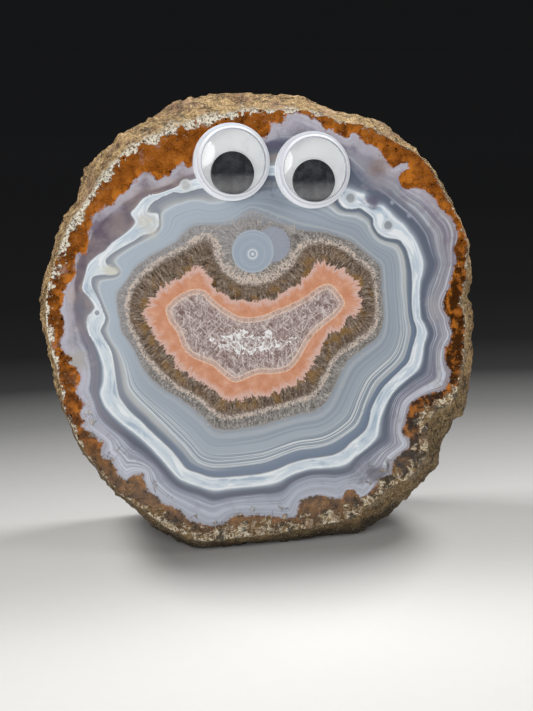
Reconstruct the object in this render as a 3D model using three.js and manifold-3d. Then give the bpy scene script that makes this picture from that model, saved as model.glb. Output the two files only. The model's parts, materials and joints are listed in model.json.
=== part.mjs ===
// A thick slice of agate that stands on its rim and leans back a little, with a pair of
// round googly eyes stuck on its polished face. Millimetres, +Z up, the face towards -Y.
import * as THREE from "three";
import { mergeVertices } from "three/addons/utils/BufferGeometryUtils.js";
import { ImprovedNoise } from "three/addons/math/ImprovedNoise.js";
import Module from "manifold-3d";

const wasm = await Module();
wasm.setup();

// Driving dimensions of the stone.
const LEAN = THREE.MathUtils.degToRad(8); // how far the face leans back from upright
const THICKNESS = 38; // from the polished face to the sawn back
const CENTRE_HEIGHT = 59.6; // the middle of the face above the base, square to the base
const BODY_SHIFT = [-4.6, -18.6]; // X and Y that bring the box of the whole stone over the origin
const COLUMNS = 144; // facets round the rim

// The rim of the polished face, as across and up from its middle, anticlockwise from the right.
const FACE_RIM = [
  [57.5, 0], [56.7, 4.5], [58.4, 10], [58.5, 15], [58.9, 19.5], [57.5, 23.8], [55.6, 28],
  [53, 32.4], [51, 36.2], [48.4, 40.2], [44.6, 43.9], [39.4, 46.6], [34.8, 49.2], [30, 51.3],
  [24, 52.1], [19.5, 53.9], [13.5, 55.4], [7, 55.4], [-1, 55.7], [-7.5, 54.4], [-14, 53.4],
  [-19, 51.5], [-25, 49.4], [-30.5, 47], [-34.6, 43.6], [-38.6, 39.2], [-42.6, 33.8],
  [-46.4, 28.9], [-49.2, 23], [-51.6, 17.3], [-53.4, 11.6], [-54.2, 6], [-53.9, 0],
  [-52.8, -6], [-51.4, -12], [-50.6, -18.6], [-48.5, -24.6], [-45.8, -30.2], [-42.3, -35.5],
  [-38.5, -40.7], [-33, -45.3], [-28.4, -49.2], [-23.5, -52.9], [-17, -55.9], [-10, -56.1],
  [-3, -55.6], [4, -55.6], [11, -55], [18, -54], [25.5, -53.1], [28, -50.6], [32, -48.2],
  [34.8, -45.6], [40.5, -43.4], [44.4, -39.4], [46.2, -36], [46.3, -31], [48, -26.2],
  [52.4, -24.4], [55, -20.8], [56.6, -14.5], [57.4, -7],
];

// How far the rough rind swells out behind the rim, by the direction round the stone.
const SWELL = [
  { at: 0, out: 5.4 }, { at: 8, out: 4.9 }, { at: 20, out: 2.2 }, { at: 34, out: 2.3 },
  { at: 42, out: 2 }, { at: 54, out: 4.2 }, { at: 62, out: 3.6 }, { at: 78, out: 4.2 },
  { at: 90, out: 5.3 }, { at: 106, out: 5.7 }, { at: 116, out: 4 }, { at: 126, out: 3.2 },
  { at: 135, out: 3 }, { at: 141, out: 0.8 }, { at: 150, out: 0.4 }, { at: 165, out: -1.2 },
  { at: 174, out: -0.4 }, { at: 186, out: -0.2 }, { at: 198, out: -0.9 }, { at: 210, out: 0 },
  { at: 225, out: 0.3 }, { at: 240, out: 2 }, { at: 258, out: 3.5 }, { at: 284, out: 4.9 },
  { at: 294, out: 6.1 }, { at: 300, out: 8.6 }, { at: 306, out: 9.4 }, { at: 313, out: 7 },
  { at: 318, out: 6.8 }, { at: 324, out: 10 }, { at: 330, out: 11.4 }, { at: 337, out: 6.8 },
  { at: 343, out: 5.4 }, { at: 350, out: 5.4 }, { at: 360, out: 5.4 },
];

// The share of that swell at each depth behind the face.
const FLANK = [
  { depth: 0, share: 0 }, { depth: 1, share: 0.22 }, { depth: 2.4, share: 0.45 },
  { depth: 4, share: 0.66 }, { depth: 6, share: 0.84 }, { depth: 8.4, share: 0.95 },
  { depth: 11, share: 1 }, { depth: 14, share: 1 }, { depth: 17.5, share: 0.97 },
  { depth: 21, share: 0.9 }, { depth: 24.5, share: 0.8 }, { depth: 28, share: 0.66 },
  { depth: 31.5, share: 0.48 }, { depth: 34.5, share: 0.28 }, { depth: 36.8, share: 0.06 },
  { depth: THICKNESS, share: -0.2 },
];
const TAPER = 1.6; // the rind draws in this much towards the back, all the way round

// The rough rind: rounded lumps, sharper ledges, grit, and one broken hollow low on the right.
const LUMP = { size: 11, height: 1.5, seed: 7.3 };
const LEDGE = { size: 5.2, height: 0.9, seed: 3.1 };
const GRIT = { size: 2.4, height: 0.35, seed: 9.7 };
const HOLLOW = { at: 327, depth: 5.5, width: 8, sink: 2.6 };
const SMOOTH_EDGE = 0.25; // share of the roughness that is left at the sawn edges

// Driving dimensions of each eye, all along its own axis from the face of the stone outwards.
const GLUE = 0.3; // thickness of the adhesive between stone and eye
const EYE_RADIUS = 10;
const BACK_THICKNESS = 0.7;
const SEAM = 0.05; // air between the back and the flange of the case
const FLANGE_THICKNESS = 0.6;
const CASE_RADIUS = 9.1; // outside of the clear cup
const CASE_WALL = 0.35;
const CASE_HEIGHT = 4; // from the flange's underside to the top of the dome
const SHOULDER = 2.3; // height at which the cup's wall turns into the dome
const PUPIL_RADIUS = 5.65;
const PUPIL_THICKNESS = 0.9;
const PUPIL_HANG = 2.95; // how far the loose pupil hangs below the middle of the eye
const PUPIL_PLAY = 0.15; // air between the pupil and the back
const EDGE_ROUND = 0.15; // small round on the plastic edges
const DOME_SQUARENESS = 0.6; // below 1, the dome is flatter on top with a tighter shoulder
const DOME_STEPS = 7;
const EYE_SEGMENTS = 40;

// Where each eye sits, across and up from the middle of the face.
const EYES = [
  { side: "left", across: -5.3, up: 42.3 },
  { side: "right", across: 16.2, up: 39.8 },
];

const stoneGrey = new THREE.MeshStandardMaterial({ color: 0xa9a39a, roughness: 0.4 });
const whitePlastic = new THREE.MeshStandardMaterial({ color: 0xf0f0f2, roughness: 0.35 });
const clearPlastic = new THREE.MeshStandardMaterial({
  color: 0xffffff, roughness: 0.05, transparent: true, opacity: 0.3,
});
const blackPlastic = new THREE.MeshStandardMaterial({ color: 0x111113, roughness: 0.35 });

// The frame of the polished face: x across, z up along the face, y into the stone.
const faceFrame = new THREE.Matrix4()
  .makeTranslation(BODY_SHIFT[0], BODY_SHIFT[1], CENTRE_HEIGHT)
  .multiply(new THREE.Matrix4().makeRotationX(-LEAN));

const noise = new ImprovedNoise();

// Smooth noise from about -0.7 to 0.7, whose lumps are about as wide as size.
const grain = (p, { size, seed }) => noise.noise(p.x / size + seed, p.y / size, p.z / size);

// How far the roughness stands out at a point of the rind: lumps, ridges where noise crosses zero, grit.
function roughness(p) {
  const ridges = 0.5 - 2 * Math.abs(grain(p, LEDGE));
  return LUMP.height * grain(p, LUMP) + LEDGE.height * ridges + GRIT.height * grain(p, GRIT);
}

// A straight line between the two entries on either side of x.
function between(table, key, value, x) {
  const next = table.findIndex((row) => row[key] >= x);
  if (next <= 0) return table[Math.max(next, 0)][value];
  const a = table[next - 1];
  const b = table[next];
  return THREE.MathUtils.mapLinear(x, a[key], b[key], a[value], b[value]);
}

// The radius of the rim in the direction of angle, where the ray from the middle meets the outline.
function rimRadius(angle) {
  const turn = (p) => THREE.MathUtils.euclideanModulo(Math.atan2(p[1], p[0]) - angle, 2 * Math.PI);
  for (let i = 0; i < FACE_RIM.length; i += 1) {
    const a = FACE_RIM[i];
    const b = FACE_RIM[(i + 1) % FACE_RIM.length];
    if (turn(a) > turn(b) || turn(a) === 0) {
      const cross = a[0] * b[1] - a[1] * b[0];
      return cross / (Math.cos(angle) * (b[1] - a[1]) - Math.sin(angle) * (b[0] - a[0]));
    }
  }
  throw new Error("the rim doesn't go all the way round");
}

// How far the broken hollow takes the rind in, at a distance from the middle of the face.
function hollow(degrees, depth, radius) {
  const round = radius * THREE.MathUtils.degToRad(Math.abs(degrees - HOLLOW.at));
  const reach = Math.hypot(round, depth - HOLLOW.depth) / HOLLOW.width;
  return HOLLOW.sink * Math.max(0, 1 - reach ** 2) * Math.min(1, depth);
}

// A point of the rind in the frame of the face.
function rindPoint(angle, { depth, share }) {
  const degrees = THREE.MathUtils.radToDeg(angle);
  const swell = share * between(SWELL, "at", "out", degrees);
  const smooth = rimRadius(angle) + swell - TAPER * (depth / THICKNESS) ** 2;
  const place = (radius) => new THREE.Vector3(Math.cos(angle) * radius, depth, Math.sin(angle) * radius);
  const middle = Math.sqrt(Math.sin((Math.PI * depth) / THICKNESS));
  const rough = THREE.MathUtils.lerp(SMOOTH_EDGE, 1, middle) * roughness(place(smooth));
  return place(smooth - hollow(degrees, depth, smooth) + rough);
}

// The stone before its base is cut: a flat face, the rind in rows behind it, and a flat back.
function wholeStone() {
  const places = [];
  const faces = [];
  for (const row of FLANK) {
    for (let column = 0; column < COLUMNS; column += 1) {
      places.push(rindPoint((2 * Math.PI * column) / COLUMNS, row));
    }
  }
  const spot = (row, column) => row * COLUMNS + (column % COLUMNS);
  for (let row = 0; row + 1 < FLANK.length; row += 1) {
    for (let column = 0; column < COLUMNS; column += 1) {
      const a = spot(row, column);
      const b = spot(row, column + 1);
      const c = spot(row + 1, column + 1);
      const d = spot(row + 1, column);
      faces.push(a, c, b, a, d, c);
    }
  }
  const last = FLANK.length - 1;
  const front = places.push(new THREE.Vector3(0, 0, 0)) - 1;
  const back = places.push(new THREE.Vector3(0, THICKNESS, 0)) - 1;
  for (let column = 0; column < COLUMNS; column += 1) {
    faces.push(front, spot(0, column), spot(0, column + 1));
    faces.push(back, spot(last, column + 1), spot(last, column));
  }
  return new THREE.BufferGeometry()
    .setAttribute("position", new THREE.Float32BufferAttribute(places.flatMap((p) => [...p]), 3))
    .setIndex(faces)
    .applyMatrix4(faceFrame);
}

function solid(geometry) {
  const bare = geometry.clone();
  bare.deleteAttribute("normal");
  bare.deleteAttribute("uv");
  const merged = mergeVertices(bare, 1e-4);
  return new wasm.Manifold(new wasm.Mesh({
    numProp: 3,
    vertProperties: new Float32Array(merged.attributes.position.array),
    triVerts: new Uint32Array(merged.index.array),
  }));
}

function geometryOf(manifold) {
  const mesh = manifold.getMesh();
  return new THREE.BufferGeometry()
    .setAttribute("position", new THREE.BufferAttribute(new Float32Array(mesh.vertProperties), 3))
    .setIndex(new THREE.BufferAttribute(new Uint32Array(mesh.triVerts), 1));
}

// The stone with everything below the floor ground away, so that it stands on a flat base.
function agateSlice() {
  const below = new THREE.BoxGeometry(400, 400, 100).translate(0, 0, -50);
  const stone = solid(wholeStone()).subtract(solid(below));
  const mesh = new THREE.Mesh(geometryOf(stone), stoneGrey);
  mesh.name = "agate_slice";
  return mesh;
}

// A solid of revolution about the eye's axis, which points out of the face.
function turned(profile, material, name) {
  const points = profile.map(([radius, height]) => new THREE.Vector2(radius, height));
  const geometry = new THREE.LatheGeometry(points, EYE_SEGMENTS).rotateX(Math.PI);
  const mesh = new THREE.Mesh(geometry, material);
  mesh.name = name;
  return mesh;
}

// The outside or inside of the clear cup, from its shoulder up to the top of its shallow dome.
function domeCurve(radius, top) {
  const points = [];
  for (let step = 0; step < DOME_STEPS; step += 1) {
    const turn = (Math.PI / 2) * (step / DOME_STEPS);
    const height = SHOULDER + (top - SHOULDER) * Math.sin(turn);
    points.push([radius * Math.cos(turn) ** DOME_SQUARENESS, height]);
  }
  points.push([0, top]);
  return points;
}

// The outline of a flat disc with small rounds on its edges, from its underside to its top.
function discCurve(radius, low, high) {
  return [
    [0, low],
    [radius - EDGE_ROUND, low],
    [radius, low + EDGE_ROUND],
    [radius, high - EDGE_ROUND],
    [radius - EDGE_ROUND, high],
    [0, high],
  ];
}

// The outline of the clear cup with its flange, above the flange's underside.
function cupCurve() {
  const innerRadius = CASE_RADIUS - CASE_WALL;
  return [
    ...domeCurve(innerRadius, CASE_HEIGHT - CASE_WALL).reverse(),
    [innerRadius, 0],
    [EYE_RADIUS - EDGE_ROUND, 0],
    [EYE_RADIUS, EDGE_ROUND],
    [EYE_RADIUS, FLANGE_THICKNESS - EDGE_ROUND],
    [EYE_RADIUS - EDGE_ROUND, FLANGE_THICKNESS],
    [CASE_RADIUS + EDGE_ROUND, FLANGE_THICKNESS],
    [CASE_RADIUS, FLANGE_THICKNESS + EDGE_ROUND],
    ...domeCurve(CASE_RADIUS, CASE_HEIGHT),
  ];
}

// One googly eye: a white back, a clear cup over it, and a black disc that hangs low inside.
function eye({ side, across, up }) {
  const backTop = GLUE + BACK_THICKNESS;
  const back = turned(discCurve(EYE_RADIUS, GLUE, backTop), whitePlastic, `${side}_eye_back`);
  const cup = turned(cupCurve(), clearPlastic, `${side}_eye_case`);
  cup.position.y = -(backTop + SEAM);
  const pupilLow = backTop + PUPIL_PLAY;
  const pupilCurve = discCurve(PUPIL_RADIUS, pupilLow, pupilLow + PUPIL_THICKNESS);
  const pupil = turned(pupilCurve, blackPlastic, `${side}_eye_pupil`);
  pupil.position.z = -PUPIL_HANG;
  const group = new THREE.Group();
  group.position.set(across, 0, up);
  group.add(back, cup, pupil);
  return group;
}

const face = new THREE.Group();
face.applyMatrix4(faceFrame);
face.add(...EYES.map(eye));

const part = new THREE.Group();
part.add(agateSlice(), face);

export default part;
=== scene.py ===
# %% [markdown]
# # A thick slice of agate with a pair of googly eyes
#
# The real object is a natural nodule, sawn across, polished on the sawn face and left rough all round.
# It stands on its own rim, leans back a little, and wears two stick-on eyes whose black discs are loose.
# The measured frame comes in first: it fixes every size, and nothing made below may grow past it.

# %% Load the measured frame
import json
import math

import bpy
import numpy as np
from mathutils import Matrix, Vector


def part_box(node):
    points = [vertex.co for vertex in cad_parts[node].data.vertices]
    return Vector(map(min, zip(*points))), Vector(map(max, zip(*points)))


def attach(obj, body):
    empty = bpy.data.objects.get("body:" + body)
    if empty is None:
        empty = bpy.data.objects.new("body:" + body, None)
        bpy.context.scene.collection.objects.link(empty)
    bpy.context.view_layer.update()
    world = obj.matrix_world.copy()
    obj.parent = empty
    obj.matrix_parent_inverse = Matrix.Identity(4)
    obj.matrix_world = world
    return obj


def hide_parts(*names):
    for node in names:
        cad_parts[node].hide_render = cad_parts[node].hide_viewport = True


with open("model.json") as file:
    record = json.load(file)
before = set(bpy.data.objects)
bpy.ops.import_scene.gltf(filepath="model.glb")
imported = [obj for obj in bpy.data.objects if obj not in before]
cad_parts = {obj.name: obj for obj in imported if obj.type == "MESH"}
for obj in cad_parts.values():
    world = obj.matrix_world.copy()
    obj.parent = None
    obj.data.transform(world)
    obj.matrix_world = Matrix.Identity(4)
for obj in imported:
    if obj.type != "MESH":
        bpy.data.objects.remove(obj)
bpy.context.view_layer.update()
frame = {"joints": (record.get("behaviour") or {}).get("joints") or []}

# %% [markdown]
# ## The frame of the polished face
#
# Everything on this object is laid out on its polished face, which leans back by eight degrees.
# It is easiest to work in that face's own millimetres: across it, up it, and depth into the stone.
# The axis that the loose discs turn about stands square on the face, so it gives the lean, and the
# white back of the left eye gives the place. Nothing is typed in twice.

# %% Turn face millimetres into places
MM = 0.001
THICKNESS = 38.0
EYES = {"left": (-5.3, 42.3), "right": (16.2, 39.8)}  # across and up, from the middle of the face
GLUE = 0.3
BACK_THICKNESS = 0.7

OUT = np.array(frame["joints"][0]["axis"])
ACROSS = np.array([1.0, 0.0, 0.0])
UP = np.cross(OUT, ACROSS)

back_middle = np.mean([list(corner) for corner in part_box("left_eye_back")], axis=0)
FACE_MIDDLE = back_middle - MM * (
    EYES["left"][0] * ACROSS + EYES["left"][1] * UP + (GLUE + BACK_THICKNESS / 2) * OUT)


def place(across, up, depth):
    """Points in metres: the face's middle, plus across and up along it, minus depth along its axis."""
    across, up, depth = np.broadcast_arrays(across, up, depth)
    return FACE_MIDDLE + MM * (across[..., None] * ACROSS + up[..., None] * UP - depth[..., None] * OUT)


print("lean in degrees:", round(math.degrees(math.asin(OUT[2])), 2))
print("middle of the face in mm:", np.round(FACE_MIDDLE / MM, 2))

# %% [markdown]
# ## Outlines of the bands
#
# Agate grows inwards in layers, and a cut shows them as closed curves, one within the other.
# A texture could fake them with a warped ring pattern, but this stone's bands have corners and bays of
# their own. So each main boundary is a short list of corners, read with a ruler, and a smooth
# closed curve is carried through them.

# %% The rim and the nine main boundaries


def corners(text):
    """Pairs of across and up in millimetres, anticlockwise from the right, as an array with two columns."""
    return np.array([[float(x) for x in pair.split(",")] for pair in text.split()])


RIM = corners("""
57.5,0 56.7,4.5 58.4,10 58.5,15 58.9,19.5 57.5,23.8 55.6,28 53,32.4 51,36.2 48.4,40.2 44.6,43.9 39.4,46.6
34.8,49.2 30,51.3 24,52.1 19.5,53.9 13.5,55.4 7,55.4 -1,55.7 -7.5,54.4 -14,53.4 -19,51.5 -25,49.4 -30.5,47
-34.6,43.6 -38.6,39.2 -42.6,33.8 -46.4,28.9 -49.2,23 -51.6,17.3 -53.4,11.6 -54.2,6 -53.9,0 -52.8,-6 -51.4,-12
-50.6,-18.6 -48.5,-24.6 -45.8,-30.2 -42.3,-35.5 -38.5,-40.7 -33,-45.3 -28.4,-49.2 -23.5,-52.9 -17,-55.9
-10,-56.1 -3,-55.6 4,-55.6 11,-55 18,-54 25.5,-53.1 28,-50.6 32,-48.2 34.8,-45.6 40.5,-43.4 44.4,-39.4
46.2,-36 46.3,-31 48,-26.2 52.4,-24.4 55,-20.8 56.6,-14.5 57.4,-7""")

MOSS_EDGE = corners("""
53,0 52,2 51.8,4 53.5,7 54.2,10 55.3,14 55.3,18 56,22 54.6,26 52.5,28 50,31 47.5,33.5 44.5,35 43,36.5 43,40
41.5,41.3 38.5,40 37,41.5 35.8,43.5 34.5,45.5 32.5,46 30.5,46.3 29.5,48.3 27.5,49.5 26,47.7 24.5,48.5 22,50
20,50.2 19,52 16.5,53.2 12.5,54.8 9.6,54 9.3,52.5 8,51.9 6.3,52.4 5.3,51.5 4.6,49 3,48.3 1,47 -3,46.5 -8,45
-12,43 -15.8,41.2 -17.9,42.4 -20,40.8 -21.7,39.3 -24.6,38.3 -25.6,39.5 -27.1,40.3 -28.8,39.9 -30,38.7
-31.3,37 -32.9,35.1 -35,34.5 -36,32.4 -37.9,32 -39.2,30.5 -40.8,29.7 -41.5,27.4 -42.9,26 -42.9,23.3
-43.5,20.3 -46.3,19.9 -46.7,17.8 -46.5,15.3 -47.5,13.7 -48.8,11.8 -49.8,10.8 -49.8,7.8 -50.2,6.2 -49.6,3.7
-49.8,0 -51,-1.3 -50,-5 -47.8,-6.2 -49,-7.5 -46.7,-9.2 -46.2,-11 -46.7,-12.5 -47.5,-14.6 -47,-16.5
-45.4,-18.3 -46.7,-19.6 -46.5,-21.5 -45.4,-22.9 -46.7,-24.2 -43.3,-26.7 -41,-28.8 -41.7,-30 -42,-31.7
-39.6,-33.3 -38.3,-36.3 -35.4,-38.8 -33.3,-37.3 -31,-37.3 -31,-39.4 -29.8,-41.7 -28.3,-43.3 -25.4,-45.8
-22.5,-47.5 -20,-49.6 -17.5,-50.8 -15.8,-52.1 -10.8,-52.5 -8.8,-50.4 -5.8,-50 -1.7,-50.6 2.5,-50.8
5.4,-51.7 8.8,-51.7 9.8,-49.6 10.8,-47.1 13.8,-46.3 16.7,-46.3 19.2,-47.1 21.7,-47.5 23.8,-45.4 25.8,-46.3
27.5,-47.9 30,-46.3 31.7,-44.2 35,-42.5 36.3,-40.8 36.7,-38.3 39.2,-36.7 41.7,-35 41.3,-32.5 39.6,-30.4
40.8,-26.7 41.7,-23.8 44.2,-22.1 47.5,-20.8 51.3,-20 52.5,-18.3 53.3,-15.4 52.5,-13.8 51.9,-11.3 52.5,-8.3
53.8,-6.7 54.2,-4.6 53.3,-2.5""")

SLATE_LINE = corners("""
46.3,0 45.9,3.7 46.5,8.3 47.9,11.2 49,14.1 48.3,16.2 47.1,19.9 46.3,22 44.2,24.9 41.7,27.4 39.2,29.5 36.3,32
33.3,34.1 29.2,36.2 26.7,39.5 23,43 15,45.5 9,46.8 5,47 2,45 -5,41 -12,39.3 -15.5,38.9 -20,37 -25,35.4
-29,34.3 -31,33.3 -34,31.4 -37,29.1 -40,26.4 -42,23.7 -43.5,21.2 -45.4,17.8 -46,15 -46.3,11.4 -45.8,9.3 -46,7
-45.8,4 -45.2,2 -43.7,-1.5 -42.6,-6 -42.5,-10 -43,-14 -42.3,-18 -40.6,-22 -37,-25.6 -33.3,-28.9 -30,-31.7
-26,-36.3 -23.5,-39.5 -20.5,-41.8 -16.5,-43.3 -12.8,-45 -8,-44.6 0,-44.2 2.5,-44.4 5.8,-43.8 8.3,-41.9
12.5,-40.4 16.7,-40.2 20.8,-40.6 24.2,-40.2 25.4,-38.8 27.1,-36.9 30,-35 32.5,-33.4 34.6,-32 34.9,-29.2
35.4,-25 37.1,-20.9 40,-18.3 42.9,-16.3 45.4,-14.8 46.3,-12.5 46.8,-9 47.1,-7.5 48.2,-4.6 47.4,-2""")

WHITE_OUTER = corners("""
45.2,0 45,5 45.2,9 46,12 46.2,15 45.3,18 44,21 42.5,23 41,25 39,26.6 37,28.7 35.5,30 34.3,30.4 33,30
31.5,30.7 30.6,32 30.5,33.3 29.3,33.6 27.5,34.2 25,35 23,36 20,38 15,40 10,41.2 5,41 1,40 -5,38.5 -10,38.2
-14.6,38.3 -17,37.8 -20,36.2 -22,35.5 -24.5,34.8 -27,34.6 -29,33.1 -30.3,31.5 -31.7,30 -30.8,28.5
-30.6,27.5 -31.8,26 -34,24.3 -37,22.3 -38.5,20.7 -40.8,19.4 -43,17.5 -43.8,15 -44.8,12 -44.6,10.6 -43.4,9.3
-42.3,7.8 -41.8,6.2 -43.6,4.5 -44.2,3 -43.9,0 -42.4,-2.5 -41.2,-5.5 -40.3,-9 -40.5,-13 -41.4,-15.5
-40.6,-18.5 -39.2,-20.5 -37,-23 -33.5,-26 -30,-29.3 -26,-34 -23,-37.8 -21,-39.6 -16.5,-41.6 -12.8,-42.9
-8,-42.7 0,-42.5 3.3,-42.2 5.4,-41.6 7.5,-40.5 10,-39.7 13.8,-39 17.9,-39 21.7,-38.8 24.2,-38 25.8,-36.7
27.9,-35.4 30,-33.8 31.9,-32.1 32.7,-30 33.3,-26.7 35,-22.9 36.7,-20.4 39.2,-17.9 41.7,-16 43.8,-14.4
45,-12.5 45.6,-10 46,-7.5 46.9,-4.6 46.7,-3.3 46,-1.5""")

WHITE_INNER = corners("""
43.1,0 42.8,4 43,8 43,12 42.5,15 41.7,18 40.5,20 39.5,20.9 37,21.2 35,21.9 33.4,23.2 32.5,25 32.5,26.6
31.8,27.6 30.5,28.6 29,29.6 27.5,29.3 25.5,29.4 24.2,30.1 23.2,31.4 22.8,32.8 21,34.5 16,36.5 10,38 5,38.7
0,38 -6,36.5 -13.3,35.8 -15,35.4 -17,34.9 -18.5,34.7 -20,35.1 -21.5,34.8 -24,33.7 -26,32.5 -27,31.3
-27.6,30.2 -26.5,30 -24.6,29.8 -24.4,28 -24.6,26.2 -25.5,25 -27,24.5 -29,24.2 -31,22.9 -34,21.5 -37,19.8
-38.5,18.5 -38.3,17.2 -37,16.2 -35.8,15.5 -35.7,14.8 -37,14.4 -39,14.5 -40.8,14.5 -42,14.2 -42.4,13.2
-42.2,11.5 -41.2,9.5 -40.3,7.5 -39.7,5.5 -39,3.8 -39.5,2.3 -40.3,1 -40.5,0 -39.2,-2.5 -38.1,-4.6 -37.5,-7.5
-37.3,-10.4 -37,-13.8 -36.5,-16.7 -35,-19.2 -33.3,-21.3 -30.8,-23.8 -28.3,-26.7 -25.8,-29.2 -23.3,-31.9
-21.3,-34.6 -19.6,-36.7 -16.7,-38 -12.9,-39.4 -7.9,-39.6 0,-39.4 5,-38.3 8.3,-37.1 12.5,-36.3 16.7,-36
20,-35.6 22.5,-34.6 25,-32.5 27.5,-30.8 29.2,-29.2 30.2,-26.7 30.8,-23.8 32.5,-20.8 34.2,-18.3 36.3,-16.3
38.8,-14.2 40.8,-12.5 41.7,-11.3 42.3,-9.2 43.3,-6.3 44,-3.8 43.8,-2.1""")

FINE_LINE = corners("""
41,0 40.7,4 40.3,8 40.3,12 40.1,15 39.6,17.3 38.6,18.8 37,19.5 35,20.2 33.4,21.3 32,23.4 31.3,25.3 30,26.5
28,27.6 25.5,28 23,28.6 21,30.2 17,32.5 12,34.5 7,35.8 3,35.8 -3,34 -8,32.2 -11.5,32.1 -13,32.7 -15,32.9
-17,32.6 -20,31.8 -22.5,30.8 -23.8,29.6 -23.9,27.8 -23.9,26.3 -25,24.9 -27,23.6 -29.5,22.4 -32,21.2 -34,20
-35.5,19 -36.2,18 -35.8,17 -35.1,16.2 -34.7,15.3 -35,14.3 -36,13.7 -38,13.4 -40,13 -40.6,12 -40.6,10.5
-40,8.5 -39.2,6.5 -38.6,4.8 -38.2,3.5 -38.5,2 -38.9,0.8 -38.5,-0.8 -37.5,-3 -36.3,-5 -35.2,-8 -34.6,-11
-34,-14.6 -31.7,-17.9 -29,-20.8 -26.7,-23.3 -23.3,-27.1 -20,-30.8 -17.5,-34.2 -15.5,-35.7 -12.1,-36.7
-6,-36.7 0,-36.3 2.5,-35.8 6.3,-34.6 10.4,-33.5 14.6,-33.3 18.3,-32.7 21.7,-31.3 24.6,-29.6 26.7,-27.9
28.3,-25 29.2,-22.5 30.8,-19.2 32.5,-16.7 35.4,-14.2 38.3,-11.7 40,-9.2 41,-6 41.4,-3""")

DRUSE_EDGE = corners("""
34.8,0 34.8,3 34.6,8 34.5,12 34,14.5 32,16.4 29.5,18.5 27,20.5 24,22 20,23.4 16,24 12,24.8 9,26 6,27.1
3,28.7 0,29.9 -1.5,29.5 -3.5,28.3 -6,26.9 -10,26.5 -13.8,26.6 -16.5,26 -18.5,24.3 -20,22.6 -23,21 -27,19.1
-29.5,17.4 -31.5,15.8 -33,13.7 -34.5,11.8 -36,9.9 -36.3,7 -35.8,3 -35.3,0 -34.6,-1.3 -32.9,-3.8 -31.3,-7.1
-30,-10 -27.9,-12.9 -24.6,-15.8 -21.3,-17.9 -18.3,-20.4 -15,-23.3 -12.9,-25.8 -11.3,-26.9 -7.9,-27.3
0,-26.7 3.3,-26 7.5,-25 11.7,-24.2 15.4,-23.8 17.5,-22.5 19.2,-20.4 20.8,-17.5 22.5,-14.2 24.2,-11.3
26.7,-9.2 29.6,-7.3 32.5,-5.4 34,-3.3""")

BEIGE_LINE = corners("""
33.1,0 33.3,4 33,9 32.5,12.4 30.5,14.7 28,16.6 26,18.5 23,20.3 20,21.4 17,21.6 14,21 12,19.3 10.5,16.8
8,14.2 5,12.3 2,11.3 -1,11.3 -4,12 -6.5,13.5 -8.5,15.8 -9.5,18.5 -9.7,21 -10.2,23.3 -12,24 -14,23.6
-18,21.5 -23,19 -28,16 -31,13 -33.3,9.5 -33.7,5 -33.3,1 -31.5,-2.3 -30,-6.3 -27.5,-9.2 -24.6,-12.5
-21.3,-15.4 -17.9,-17.3 -15,-19.2 -12.9,-21.3 -10.8,-23.3 -7.9,-24 -3.8,-23.5 0,-22.9 3.8,-22.1 7.5,-21.5
11.3,-20.4 14.6,-19.6 16.7,-17.5 17.9,-15.4 19.2,-13.3 20.4,-10.8 22.5,-8.8 25.8,-7.1 29.2,-5 32.1,-2.5""")

SALMON_OUTER = corners("""
26.5,1 28.6,3 28.7,5 28.5,8 27.5,10.3 25,12.4 22.5,14.3 20,15.5 18,16 16,14.9 14.5,12.8 12.5,11.4 10,9.5
8,8.3 5,7 2,6.2 -1,5.9 -4,6.2 -7,7.6 -9.5,9.6 -11.5,12 -13,15 -15,15.7 -17.5,14.2 -20,13 -23,12 -26,9.5
-28,7 -29.3,5 -28,2 -27.1,0 -25.8,-2.9 -23.3,-6.3 -21.3,-9.6 -18.3,-11.7 -15.8,-14.2 -13.8,-15.4
-11.3,-17.1 -8.8,-19.2 -6.3,-19.6 -2.9,-19 0,-18.8 4.2,-18.3 7.1,-17.1 10,-16.3 12.5,-14.6 14.2,-12.1
15.8,-10 17.1,-7.5 19.6,-5 20.8,-3.3 23.3,-1.7 25,0""")

SALMON_INNER = corners("""
19.6,0 22,1.7 23.5,3.5 24,5.1 22.5,7.4 21,9.3 19,9.7 16.5,8.7 14,7 10,5.1 5,3.4 2,2.3 -2,1.9 -5,2.6 -8,4.5
-11,7 -12.5,8.8 -14,9.8 -17,9.7 -20,8.5 -22.5,6.5 -23.5,5 -22.7,2 -21.3,0 -20.2,-2.5 -19.4,-5 -17.1,-7.5
-14.2,-8.8 -11.7,-10 -10,-11.7 -7.5,-13.8 -5.8,-14.6 -3.8,-14 0,-12.7 4.2,-12.9 7.5,-12.5 9.6,-11.3
11.7,-8.8 12.9,-6.7 14.6,-4.2 16.7,-2.1""")

BOUNDARIES = [RIM, MOSS_EDGE, SLATE_LINE, WHITE_OUTER, WHITE_INNER, FINE_LINE, DRUSE_EDGE, BEIGE_LINE,
              SALMON_OUTER, SALMON_INNER]
CORE_WIDTH = 6.0  # millimetres inwards from the last boundary over which the band count still rises
DISC = (-0.2, 19.2)  # middle of the small blue disc that the crystals grew round
DISC_REACH = 10.5
DISC_TURN = 0.27  # its crystals circle a shorter way round, so their direction is counted more slowly
print(len(BOUNDARIES), "outlines,", sum(len(b) for b in BOUNDARIES), "corners")

# %% [markdown]
# ## Smooth curves, and how far a point lies inside them
#
# Two small tools do all of the band work. The first rounds a list of corners into a closed curve.
# The second measures, for many points at once, the distance to the nearest side of such a curve, and
# on which side of it each point lies. Both work on whole arrays, so tens of thousands of points cost a
# second or two.

# %% Curve and distance tools
CHUNK = 3000  # points measured at a time, which bounds the memory


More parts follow.
